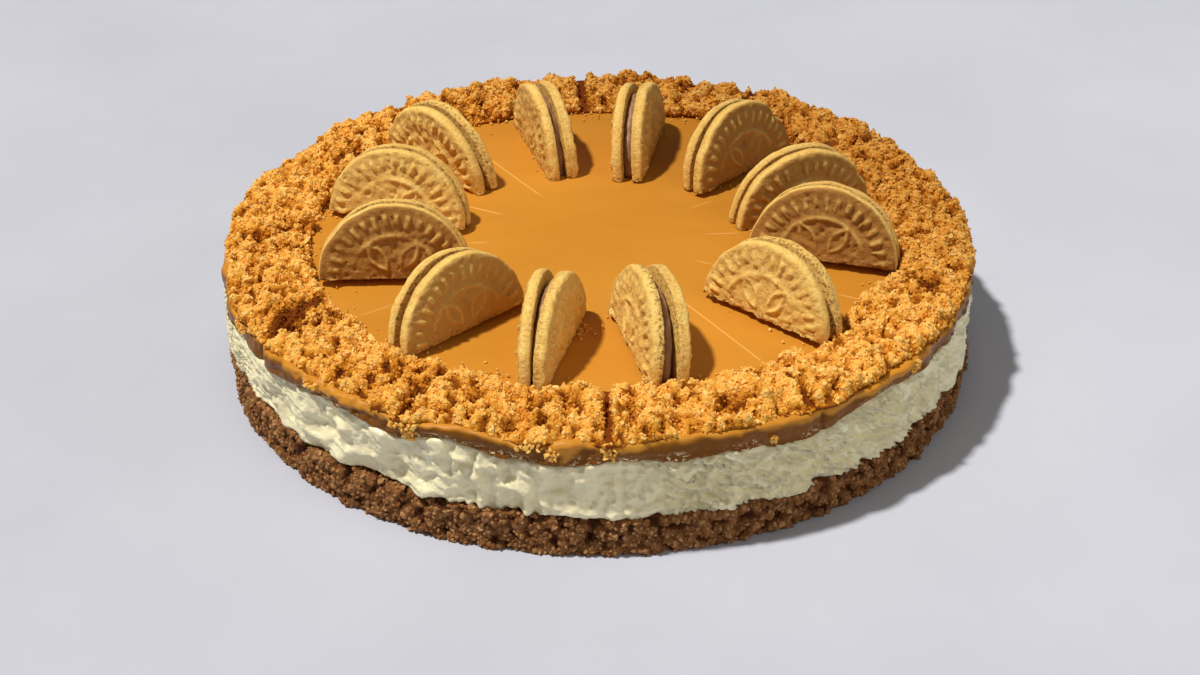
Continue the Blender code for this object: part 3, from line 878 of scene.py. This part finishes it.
def makeHalf(number, side, radius, thickness, matrix):
    # One half biscuit standing on its cut edge, with its outer face towards local +Y
    shape = biscuitShape
    columns, footRows = shape["columns"], shape["footRows"]
    key = f"{number:02d}{side}"
    seed = 100.0 + number * 7.0 + (3.0 if side == "right" else 0.0)
    ragged = raggedFeet.get(key, 0.3)
    angle, reach = halfDisc(columns, radius, shape["wobble"], shape["wobbleSize"], seed)
    if key in rimNotches:
        centre, width, notch = rimNotches[key]
        reach -= notch * hump(np.degrees(angle), centre, width)

    depth = thickness / 2.0
    outer, solid = halfSurface(angle, reach, shape["outerRounding"], depth, shape["faceRows"])
    browned = dressFace(outer, solid, number, key, seed, radius)
    inner, solidInner = halfSurface(angle, reach, shape["innerRounding"], -depth, shape["innerRows"])
    inner[:, 1] += 0.18 * mm * noiseField(inner, 1.6 * mm, seed + 5.0) * solidInner
    half = len(outer)
    outerRows, innerRows = half // columns, len(inner) // columns

    vertices = np.concatenate((outer, inner))
    edge = np.concatenate((solid, -solidInner))
    # the rim's lower part near the inner face is pitted, as on the side it baked on
    porous = porousRims.get(key, 0.15) * clamp(0.9 - edge * 1.2)
    porous = np.maximum(porous, clamp((2.2 * mm - vertices[:, 2]) / (2.0 * mm)))
    porous = np.maximum(porous, (edge < -0.98) * 0.7)
    distance = np.hypot(vertices[:, 0], vertices[:, 2])
    pore = clamp(noiseField(vertices, shape["poreSize"], seed + 6.0)) * shape["pore"] * porous
    nearRim = distance > radius - 2.5 * mm
    for axis in (0, 2):
        vertices[:, axis] -= vertices[:, axis] / np.maximum(distance, mm) * pore * nearRim
    low = clamp(1.0 - vertices[:, 2] / (3.4 * mm))
    crumbled = noiseField(vertices, 2.0 * mm, seed + 7.0)
    vertices[:, 1] *= 1.0 - ragged * low * np.clip(0.22 + crumbled * 0.5, 0.0, 0.5)
    vertices[:, 2] += low * ragged * 0.8 * mm * clamp(noiseField(vertices, 2.6 * mm, seed + 8.0) + 0.3)
    vertices = vertices.tolist()
    values = np.concatenate((browned, 0.4 * np.ones(len(inner)))).tolist()
    pores = porous.tolist()
    faces = gridFaces(0, outerRows, columns, True) + gridFaces(half, innerRows, columns, False)

    # the cut edge runs across the foot from one end of the half disc to the other
    def stripsAt(column):
        # Pairs of points, one of the outer face and the nearest one of the inner face, from the middle out
        outward = [row * columns + column for row in range(outerRows)]
        inward = [half + row * columns + column for row in range(innerRows)]
        faceShares = np.linspace(0.0, 1.0, shape["faceRows"] + 1)
        matched = np.round(faceShares * shape["innerRows"]).astype(int).tolist()
        matched += list(range(shape["innerRows"] + 1, innerRows))
        return [(corner, inward[row]) for corner, row in zip(outward, matched)]

    levels = []
    for first, last in stripsAt(columns - 1)[::-1] + stripsAt(0)[1:]:
        start, end = Vector(vertices[first]), Vector(vertices[last])
        line = [first]
        for step in range(1, footRows):
            spot = start.lerp(end, step / footRows)
            spot.z += 0.7 * mm * ragged * (noise.noise(spot / (2.0 * mm) + Vector((seed, 0.0, 0.0))) + 0.4)
            line.append(len(vertices))
            vertices.append(spot[:])
            values.append(0.3)
            pores.append(0.9)
        levels.append(line + [last])
    for one, other in zip(levels, levels[1:]):
        for step in range(footRows):
            faces.append(tuple(dict.fromkeys((one[step], other[step], other[step + 1], one[step + 1]))))

    piece = addPiece(f"biscuit{number:02d}{side.capitalize()}", vertices, faces, biscuitFinish)
    addValues(piece, "browned", values)
    addValues(piece, "porous", pores)
    mergePoints(piece)
    piece.data.transform(matrix)
    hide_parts(f"biscuit_{number:02d}_{side}")
    return piece


def makeSandwichCream(number, gap, opening, matrix):
    # A thin half disc with an uneven squeezed-out edge
    radius = biscuitShape["creamRadius"]
    closing = 2.0 * radius * math.sin(math.radians(abs(opening) / 2.0))
    thickness = gap * mm - closing + 0.3 * mm
    angle, reach = halfDisc(72, radius, 0.8 * mm, 5.0 * mm, 300.0 + number)
    columns = len(angle)
    # share of the reach and of half the thickness, from the middle of one face over the rim to the other
    upper = ((0.0, 1.0), (0.5, 1.0), (0.94, 1.0), (0.99, 0.7))
    sections = upper + ((1.0, 0.0),) + tuple((share, -across) for share, across in upper[::-1])
    vertices = []
    for share, across in sections:
        for spot, far in zip(angle, reach):
            x, z = share * far * math.cos(spot), share * far * math.sin(spot)
            vertices.append((x, across * thickness / 2.0, z))
    faces = gridFaces(0, len(sections), columns, False)
    ends = [[row * columns + column for row in range(len(sections))] for column in (0, columns - 1)]
    faces += [ends[0], ends[1][::-1]]
    piece = addPiece(f"biscuit{number:02d}Cream", vertices, faces, sandwichCreamFinish)
    mergePoints(piece)
    piece.data.transform(matrix)
    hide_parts(f"biscuit_{number:02d}_cream")
    return piece


biscuitPieces = []
draw = random.Random(biscuitShape["seed"])
for number, placing in enumerate(biscuits, start=1):
    gap, opening = placing[4], placing[5]
    foot = footMatrix(placing)
    for side, sign in (("left", 1.0), ("right", -1.0)):
        radius = biscuitShape["radius"] + draw.uniform(-0.35 * mm, 0.25 * mm)
        thickness = biscuitShape["thickness"] - draw.uniform(0.0, 0.3 * mm)
        shift = draw.uniform(-0.3 * mm, 0.3 * mm)
        turn = math.radians(sign * opening / 2.0 + (0.0 if sign > 0.0 else 180.0))
        aside = Matrix.Translation((shift, sign * (gap * mm + thickness) / 2.0, 0.0))
        local = aside @ Matrix.Rotation(turn, 4, "Z")
        biscuitPieces.append(makeHalf(number, side, radius, thickness, foot @ local))
    biscuitPieces.append(makeSandwichCream(number, gap, opening, foot))
print("biscuits made")


# Heap of crumbs round the top

heapShape = {
    "steps": 1500, "rows": 48,
    "inner": 98.0 * mm, "outer": 126.5 * mm, "height": 4.4 * mm,
    "clumpSize": 10.0 * mm, "clumpHeight": 3.0 * mm,
    "bumpSize": 4.0 * mm, "bumpHeight": 2.6 * mm,
    "lowest": 0.7 * mm, "edgeShare": 0.35,
    "innerWander": 1.8 * mm, "innerFine": 1.3 * mm, "outerWander": 1.1 * mm, "outerFine": 0.6 * mm,
    "clearance": 0.9 * mm, "endMargin": 1.5 * mm, "overhang": 0.9 * mm,
    "cutDepth": 1.8 * mm, "cutWidth": 1.0,
    "warp": 1.2 * mm, "warpSize": 3.0 * mm,
    "mound": 2.2 * mm, "moundSize": 8.0 * mm,
    "lump": 2.2 * mm, "lumpSize": 2.9 * mm,
    "grain": 0.7 * mm, "grainSize": 1.6 * mm,
    "pit": 2.2 * mm, "pitSize": 6.5 * mm, "pitFrom": 0.26, "pitTo": 0.48,
}
# Open gaps where a knife went through: azimuth, depth in millimetres, half width in degrees
deepCuts = (
    (93.0, 7.5, 1.4), (213.5, 4.5, 0.8), (242.0, 4.0, 0.8), (271.3, 6.0, 0.85), (301.0, 2.8, 0.6),
    (119.5, 5.0, 1.2), (61.0, 3.5, 1.2),
)
# Hollows between clumps: azimuth, radius, depth and half width in millimetres, and how dark their painted
# shade is
heapHollows = (
    (213.0, 121.0, 1.2, 4.0, 1.0), (211.4, 117.0, 1.5, 5.0, 1.1), (209.9, 112.5, 1.6, 5.5, 1.15),
    (208.3, 108.0, 1.6, 5.5, 1.15), (207.4, 103.5, 1.4, 4.5, 1.1), (185.0, 106.0, 2.2, 4.0, 0.7),
    (240.3, 111.5, 3.2, 4.2, 0.8), (229.0, 118.5, 2.4, 3.4, 0.7), (250.7, 109.5, 2.4, 3.6, 0.7),
    (257.5, 122.0, 2.6, 2.8, 0.7), (260.0, 110.5, 2.6, 3.0, 0.7), (265.9, 109.0, 2.6, 3.2, 0.7),
    (283.0, 122.5, 2.6, 2.6, 0.7), (290.3, 116.5, 3.0, 4.2, 0.7), (339.5, 116.0, 2.4, 4.4, 0.7),
    (73.0, 115.0, 2.4, 3.6, 0.7), (113.0, 110.0, 2.6, 4.0, 0.7),
)
# Where the heap stops short of the side or hangs over it: azimuth, reach in millimetres, half width
heapReach = (
    (222, -1.6, 5), (233, -1.6, 4), (243, 2.4, 2.2), (250, -1.9, 5), (260.5, 0.8, 2), (266, -2.2, 2.4),
    (270, 0.6, 1.5), (283, -1.4, 6), (296, -1.2, 4), (303, 0.7, 3), (316, -1.7, 7), (335, -1.3, 6),
    (20, -1.2, 8), (60, 0.6, 6), (100, -1.4, 9), (150, -1.0, 9), (190, -1.3, 7),
)


def biscuitEnds():
    # Where each biscuit's foot ends near the heap: azimuth, radius and half width in degrees
    ends = []
    for azimuth, distance, heading, lean, gap, opening in biscuits:
        end = unitAt(azimuth) * distance * mm + unitAt(heading) * biscuitShape["radius"]
        halfWidth = (gap * mm / 2.0 + biscuitShape["thickness"] + heapShape["endMargin"]) / end.length
        ends.append((math.degrees(math.atan2(end.y, end.x)), end.length, math.degrees(halfWidth)))
    return ends


def heapInnerAt(azimuth):
    # The heap's inner edge, which keeps clear of the biscuits; noise here is sized for a circle of radius 1
    unit = onCylinder(azimuth, 1.0, 0.0)
    edge = heapShape["inner"] + heapShape["innerWander"] * noiseField(unit, 0.16, 9.0)
    edge = edge + heapShape["innerFine"] * noiseField(unit, 0.045, 51.0)
    for endAzimuth, endRadius, halfWidth in biscuitEnds():
        blend = clamp((2.0 * halfWidth - angleApart(azimuth, endAzimuth)) / halfWidth)
        edge = np.maximum(edge, edge + (endRadius + heapShape["clearance"] - edge) * blend)
    return edge


def heapOuterAt(azimuth):
    shape = heapShape
    unit = onCylinder(azimuth, 1.0, 1.0)
    edge = shape["outer"] + shape["outerWander"] * noiseField(unit, 0.05, 6.0) + swell(azimuth, heapReach)
    edge = edge + shape["outerFine"] * noiseField(unit, 0.02, 52.0)
    return np.minimum(edge, cake["radius"] + shape["overhang"])


def makeHeap(shape):
    extra = [cut + shift for cut, depth, width in deepCuts for shift in np.arange(-1.6, 1.7, 0.2) * width]
    around = np.unique(np.round(np.concatenate((stepsRound(shape["steps"]), extra)), 2))[None, :]
    floor = cake["toppingTop"]
    inner, outer = heapInnerAt(around), heapOuterAt(around)
    share = np.linspace(0.0, 1.0, shape["rows"])[:, None]
    radius = inner + share * (outer - inner)
    places = onCylinder(around, radius, 0.0)
    shoulder = np.sqrt(clamp(1.0 - (2.0 * share - 1.0) ** 4))
    rise = shape["edgeShare"] + (1.0 - shape["edgeShare"]) * shoulder
    bumps = shape["bumpHeight"] * noiseField(places, shape["bumpSize"], 5.0)
    clumps = shape["clumpHeight"] * noiseField(places, shape["clumpSize"], 3.0)
    height = (shape["height"] + bumps) * rise + clumps
    warped = places + shape["warp"] * warpField(places, shape["warpSize"], 54.0)
    domes = {}
    for name, seed, reach in (("mound", 57.0, 0.8), ("lump", 53.0, 0.72), ("grain", 58.0, 0.8)):
        domes[name] = dome(cellField(warped, shape[name + "Size"], seed), reach)
        height += shape[name] * (domes[name] - 0.65)
    hollows = -noiseField(warped, shape["pitSize"], 60.0)
    hollows = clamp((hollows - shape["pitFrom"]) / (shape["pitTo"] - shape["pitFrom"]))
    height -= shape["pit"] * hollows

    # how open, how bare of crumbs and how dark with painted shade each place is
    openAndShaded = 0.5 * hollows
    bare = np.zeros(radius.shape)
    dark = np.zeros(radius.shape)
    for centre, distance, depth, width, shadeDarkness in heapHollows:
        middle = onCylinder(centre, distance * mm, 0.0)
        hollow = np.exp(-((np.linalg.norm(warped - middle, axis=-1) / (width * mm)) ** 2))
        height -= depth * mm * hollow
        openAndShaded = np.maximum(openAndShaded, shadeDarkness * hollow)
        dark = np.maximum(dark, clamp(4.0 * shadeDarkness * hollow - 2.4))
    for cut in cake["cuts"]:
        height -= shape["cutDepth"] * hump(around, cut, shape["cutWidth"])
    for cut, depth, width in deepCuts:
        middle = cut + 0.4 * noiseField(onCylinder(0.0, radius[:, :1], 0.0), 5.0 * mm, 59.0)
        gap = clamp(1.0 - angleApart(around, middle) / width)
        height -= depth * mm * gap
        openAndShaded = np.maximum(openAndShaded, gap)
        bare = np.maximum(bare, gap)
    top = onCylinder(around, radius, floor + np.maximum(height, shape["lowest"]))
    footOuter = onCylinder(around, outer - 0.2 * mm, floor - 0.2 * mm)
    footInner = onCylinder(around, inner - 0.3 * mm, floor - 0.2 * mm)
    points = np.concatenate((top, footOuter, footInner))
    faces = ringFaces(len(points), around.shape[1], closed=True)
    piece = addPiece("crumbHeap", points.reshape(-1, 3).tolist(), faces, ringCrumbFinish)
    strewn = np.zeros(points.shape[:2])
    strewn[:-2] = clamp(1.2 - 2.0 * bare) * np.clip((domes["lump"] - 0.1) * 2.5, 0.2, 1.0)
    # painted shade: the tone is lower between the lumps, in the hollows and in the knife gaps
    raised = np.zeros(points.shape[:2])
    raised[:-2] = 0.03 + (0.72 * domes["lump"] + 0.25 * domes["mound"]) * clamp(1.1 - 1.2 * openAndShaded)
    raised[:-2] -= 0.5 * np.maximum(bare, dark)
    addValues(piece, "strewn", strewn)
    addValues(piece, "raised", raised)
    return piece


crumbHeap = makeHeap(heapShape)
print("heap of crumbs made")


# Crumbs: small irregular shapes strewn over a surface by geometry nodes

# Subdivisions of a ball, how many different shapes, how uneven they are
crumbShapes = {"few": (1, 9, 0.5), "many": (2, 6, 0.42)}


def makeCrumbShapes(kind):
    subdivisions, count, unevenness = crumbShapes[kind]
    chance = random.Random(count)
    shapes = bpy.data.collections.new(f"crumb shapes {kind}")
    for number in range(count):  # their faces stay flat, as broken crumb is angular
        form = bmesh.new()
        bmesh.ops.create_icosphere(form, subdivisions=subdivisions, radius=0.5)
        for vert in form.verts:
            vert.co *= 1.0 + unevenness * chance.uniform(-1.0, 1.0)
            vert.co.z *= 0.75
        mesh = bpy.data.meshes.new(f"crumb shape {kind} {number}")
        form.to_mesh(mesh)
        form.free()
        shapes.objects.link(bpy.data.objects.new(mesh.name, mesh))
    bpy.context.scene.collection.children.link(shapes)
    return shapes


def makeStrewTree():
    # Points about a spacing apart, a crumb on each, turned and sized at random
    tree = bpy.data.node_groups.new("strew crumbs", "GeometryNodeTree")
    sockets = {
        "Surface": "Geometry", "Where": "String", "Spacing": "Float", "Smallest": "Float", "Largest": "Float",
        "Sunk": "Float", "Seed": "Int", "Shapes": "Collection", "Finish": "Material",
    }
    for label, kind in sockets.items():
        tree.interface.new_socket(label, in_out="INPUT", socket_type=f"NodeSocket{kind}")
    tree.interface.new_socket("Crumbs", in_out="OUTPUT", socket_type="NodeSocketGeometry")
    given = addNode(tree, "NodeGroupInput").outputs

    def inUse(sockets, name):
        # The socket of a name that the node's data type has in use
        return next(socket for socket in sockets if socket.enabled and socket.name == name)

    def randomNode(kind, low, high, shift):
        node = addNode(tree, "FunctionNodeRandomValue", data_type=kind)
        seed = addNode(tree, "ShaderNodeMath", ((0, given["Seed"]), (1, shift)), operation="ADD").outputs[0]
        for name, value in (("Min", low), ("Max", high), ("Seed", seed)):
            feed(tree, inUse(node.inputs, name), value)
        return inUse(node.outputs, "Value")

    mask = addNode(tree, "GeometryNodeInputNamedAttribute", (("Name", given["Where"]),), data_type="FLOAT")
    points = addNode(tree, "GeometryNodeDistributePointsOnFaces", distribute_method="POISSON")
    for label, value in (
        ("Mesh", given["Surface"]), ("Distance Min", given["Spacing"]), ("Density Max", 4000000.0),
        ("Density Factor", inUse(mask.outputs, "Attribute")), ("Seed", given["Seed"]),
    ):
        feed(tree, points.inputs[label], value)
    size = randomNode("FLOAT", given["Smallest"], given["Largest"], 7)
    depth = addNode(tree, "ShaderNodeMath", ((0, given["Sunk"]), (1, -1.0)), operation="MULTIPLY").outputs[0]
    lower = addNode(tree, "ShaderNodeVectorMath", operation="SCALE")
    feed(tree, lower.inputs["Vector"], points.outputs["Normal"])
    feed(tree, lower.inputs["Scale"], depth)
    place = addNode(tree, "GeometryNodeSetPosition", (
        ("Geometry", points.outputs["Points"]), ("Offset", lower.outputs["Vector"]),
    ))
    shapes = addNode(tree, "GeometryNodeCollectionInfo", (
        ("Collection", given["Shapes"]), ("Separate Children", True), ("Reset Children", True),
    ))
    crumbs = addNode(tree, "GeometryNodeInstanceOnPoints", (
        ("Points", place.outputs["Geometry"]), ("Instance", shapes.outputs[0]), ("Pick Instance", True),
        ("Instance Index", randomNode("INT", 0, 99, 11)),
        ("Rotation", randomNode("FLOAT_VECTOR", (0.0, 0.0, 0.0), (6.283, 6.283, 6.283), 13)),
        ("Scale", size),
    ))
    tone = addNode(tree, "GeometryNodeStoreNamedAttribute", data_type="FLOAT", domain="INSTANCE")
    feed(tree, tone.inputs["Name"], "tone")
    feed(tree, tone.inputs["Geometry"], crumbs.outputs["Instances"])
    feed(tree, inUse(tone.inputs, "Value"), randomNode("FLOAT", 0.0, 1.0, 17))
    real = addNode(tree, "GeometryNodeRealizeInstances", (("Geometry", tone.outputs["Geometry"]),))
    finish = addNode(tree, "GeometryNodeSetMaterial", (
        ("Geometry", real.outputs["Geometry"]), ("Material", given["Finish"]),
    ))
    addNode(tree, "NodeGroupOutput", (("Crumbs", finish.outputs["Geometry"]),))
    return tree


strewTree = makeStrewTree()
fewFaced = makeCrumbShapes("few")
manyFaced = makeCrumbShapes("many")


def strew(name, surface, settings):
    modifier = surface.modifiers.new("strew", "NODES")
    modifier.node_group = strewTree
    for item in strewTree.interface.items_tree:
        if item.in_out == "INPUT" and item.name in settings:
            modifier[item.identifier] = settings[item.name]
    surface.update_tag()
    evaluated = surface.evaluated_get(bpy.context.evaluated_depsgraph_get())
    mesh = bpy.data.meshes.new_from_object(evaluated)
    surface.modifiers.remove(modifier)
    mesh.name = name
    piece = bpy.data.objects.new(name, mesh)
    bpy.context.scene.collection.objects.link(piece)
    print(f"{name}: {len(mesh.polygons)} faces")
    return piece


def crumbRun(finish, shapes, seed, spacing, smallest, largest, sunk):
    return {
        "Where": "strewn", "Spacing": spacing * mm, "Smallest": smallest * mm, "Largest": largest * mm,
        "Sunk": sunk * mm, "Seed": seed, "Shapes": shapes, "Finish": finish,
    }


# Seed, spacing, smallest and largest size and how deep each crumb sits, the lengths in millimetres
crumbRuns = (
    ("baseCrumbs", crumbBase, crumbRun(baseCrumbFinish, fewFaced, 1, 1.45, 0.9, 1.9, 0.0)),
    ("baseCrumbsCoarse", crumbBase, crumbRun(baseCrumbFinish, manyFaced, 6, 3.4, 1.6, 2.6, 0.4)),
    ("heapCrumbsFine", crumbHeap, crumbRun(ringCrumbFinish, fewFaced, 2, 1.32, 0.75, 1.45, 0.1)),
    ("heapCrumbsSmall", crumbHeap, crumbRun(ringCrumbFinish, fewFaced, 3, 1.5, 0.9, 1.9, 0.2)),
    ("heapCrumbsLoose", crumbHeap, crumbRun(ringCrumbFinish, fewFaced, 7, 2.4, 0.6, 1.3, -0.4)),
    ("heapCrumbsMiddle", crumbHeap, crumbRun(ringCrumbFinish, fewFaced, 4, 2.6, 1.3, 2.2, 0.3)),
    ("sideCrumbsFine", caramelTopping, crumbRun(ringCrumbFinish, fewFaced, 8, 0.8, 0.8, 1.5, -0.1)),
    ("sideCrumbsCoarse", caramelTopping, crumbRun(ringCrumbFinish, fewFaced, 9, 1.2, 1.3, 2.1, -0.5)),
    ("heapCrumbsCoarse", crumbHeap, crumbRun(ringCrumbFinish, manyFaced, 5, 6.0, 1.9, 3.0, 0.6)),
)
crumbPieces = [strew(*run) for run in crumbRuns]
print("crumbs strewn")


# Loose crumbs beside the heap and at the biscuits' feet

looseShape = {
    "seed": 31,
    "besideHeap": 620, "besideSpread": 1.7 * mm,
    "perFoot": 6, "footSpread": 0.8 * mm,
    "smallest": 0.5 * mm, "largest": 1.3 * mm,
}
# Crumbs by single biscuits: azimuth, radius in millimetres, how many, how far they spread
crumbPatches = ((265.5, 62.5, 40, 2.2), (82.5, 53.4, 22, 1.6), (323.0, 95.0, 16, 2.6), (250.0, 95.0, 12, 2.6))


def loosePlaces(shape):
    chance = random.Random(shape["seed"])
    places = []

    def add(x, y, z):
        places.append((x, y, z, chance.uniform(shape["smallest"], shape["largest"])))

    azimuths = [chance.uniform(0.0, 360.0) for crumb in range(shape["besideHeap"])]
    for azimuth, edge in zip(azimuths, heapInnerAt(np.array(azimuths))):
        distance = edge + 0.6 * mm - chance.expovariate(1.0 / shape["besideSpread"])
        add(*onCylinder(azimuth, distance, cake["toppingTop"] + 0.25 * mm))
    for azimuth, distance, heading, lean, gap, opening in biscuits:
        middle = Vector(onCylinder(azimuth, distance * mm, 0.0))
        along = Vector(onCylinder(heading, 1.0, 0.0))
        for crumb in range(shape["perFoot"]):
            side = chance.choice((-1.0, 1.0)) * (gap * mm / 2.0 + biscuitShape["thickness"])
            spot = middle + along * chance.uniform(-26.0, 26.0) * mm
            spot += Vector((-along.y, along.x, 0.0)) * (side + chance.gauss(0.0, 1.0) * shape["footSpread"])
            add(spot.x, spot.y, cake["toppingTop"] + 0.25 * mm)
    for azimuth, distance, count, spread in crumbPatches:
        for crumb in range(count):
            spot = Vector(onCylinder(azimuth, distance * mm, 0.0))
            add(spot.x + chance.gauss(0.0, spread) * mm, spot.y + chance.gauss(0.0, spread) * mm,
                cake["toppingTop"] + abs(chance.gauss(0.2, 0.4)) * mm)
    return places


def makeScatter(name, spots, seed, finish):
    chance = random.Random(seed)
    vertices, faces, tones = [], [], []
    forms = [ball.data for ball in fewFaced.objects]
    for x, y, z, size in spots:
        form = chance.choice(forms)
        turn = Euler([chance.uniform(0.0, 6.28) for axis in range(3)]).to_matrix()
        first = len(vertices)
        vertices += [(turn @ vert.co * size + Vector((x, y, z)))[:] for vert in form.vertices]
        faces += [[first + corner for corner in face.vertices] for face in form.polygons]
        tones += [chance.random()] * len(form.vertices)
    piece = addPiece(name, vertices, faces, finish)
    addValues(piece, "tone", tones)
    addValues(piece, "raised", np.full(len(vertices), 0.8))
    return piece


loose = loosePlaces(looseShape)
crumbPieces.append(makeScatter("looseCrumbs", loose, looseShape["seed"] + 1, ringCrumbFinish))
for shapes in (fewFaced, manyFaced):
    for shape in list(shapes.objects):
        bpy.data.objects.remove(shape, do_unlink=True)
    bpy.data.collections.remove(shapes)
for piece in crumbPieces:
    for vert in piece.data.vertices:
        vert.co.z = max(vert.co.z, 0.0)
print("loose crumbs made")


# Which solids the pieces stand for, and what they ride on

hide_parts("crumb_base")
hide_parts("cream_filling")
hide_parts("caramel_topping")
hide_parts("crumb_ring")
for piece in [crumbBase, creamFilling, caramelTopping, crumbHeap] + crumbPieces + biscuitPieces:
    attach(piece, "root")


# Camera, floor and light

cameraSettings = {
    "place": (0.0, -0.63757, 0.39092),
    "aim": (0.000343, 0.0, -0.00033),
    "roll": -0.0073,
    "lens": 63.9,
    "sensor": 36.0,
}


def makeCamera(settings):
    camera = bpy.data.objects.new("camera", bpy.data.cameras.new("camera"))
    camera.data.lens = settings["lens"]
    camera.data.sensor_width = settings["sensor"]
    camera.data.clip_start = 0.01
    place = Vector(settings["place"])
    ahead = (Vector(settings["aim"]) - place).normalized()
    right = ahead.cross(Vector((0.0, 0.0, 1.0))).normalized()
    up = right.cross(ahead)
    cosine, sine = math.cos(settings["roll"]), math.sin(settings["roll"])
    across = cosine * right + sine * up
    upward = cosine * up - sine * right
    turned = Matrix((across, upward, -ahead)).transposed().to_4x4()
    camera.matrix_world = Matrix.Translation(place) @ turned
    bpy.context.scene.collection.objects.link(camera)
    bpy.context.scene.camera = camera


makeCamera(cameraSettings)

studio = {
    "floorHalf": 6.0,
    "floorClouds": 0.12,
    "floorStops": ((0.35, (0.500, 0.526, 0.620)), (0.65, (0.535, 0.562, 0.658))),
    "colour": (1.0, 0.955, 0.87),
    "sunAzimuth": 187.0,
    "sunHeight": 66.0,
    "sunStrength": 3.55,
    "sunSpread": 4.0,
    "boxPlace": (1.15, -0.97, 0.95),
    "boxSize": 1.5,
    "boxPower": 7.5,
    "skyStrength": 0.12,
}


def addLamp(name, kind, place, settings):
    # A lamp that shines from a place at the cake
    lamp = bpy.data.lights.new(name, kind)
    lamp.color = settings["colour"]
    holder = bpy.data.objects.new(name, lamp)
    holder.location = place
    holder.rotation_mode = "QUATERNION"
    holder.rotation_quaternion = Vector(place).to_track_quat("Z", "Y")
    bpy.context.scene.collection.objects.link(holder)
    return lamp


def makeStudio(settings):
    material, tree, shader = newMaterial("floor", {"Roughness": 0.8, "Specular IOR Level": 0.2})
    clouds = noiseNode(tree, settings["floorClouds"], 4.0)
    tree.links.new(rampNode(tree, clouds, settings["floorStops"]), shader.inputs["Base Color"])
    half = settings["floorHalf"]
    corners = [(-half, -half, 0.0), (half, -half, 0.0), (half, half, 0.0), (-half, half, 0.0)]
    floor = addPiece("floor", corners, [(0, 1, 2, 3)], material, smooth=False)
    height = math.radians(settings["sunHeight"])
    place = onCylinder(settings["sunAzimuth"], 2.0 * math.cos(height), 2.0 * math.sin(height))
    sun = addLamp("sun", "SUN", tuple(place.tolist()), settings)
    sun.energy = settings["sunStrength"]
    sun.angle = math.radians(settings["sunSpread"])
    box = addLamp("soft box", "AREA", settings["boxPlace"], settings)
    box.size = settings["boxSize"]
    box.energy = settings["boxPower"]
    world = bpy.data.worlds.new("sky")
    world.use_nodes = True
    sky = world.node_tree.nodes["Background"]
    sky.inputs["Color"].default_value = (*settings["colour"], 1.0)
    sky.inputs["Strength"].default_value = settings["skyStrength"]
    bpy.context.scene.world = world
    bpy.context.scene.view_settings.view_transform = "Standard"


makeStudio(studio)
print("camera, floor and light made")
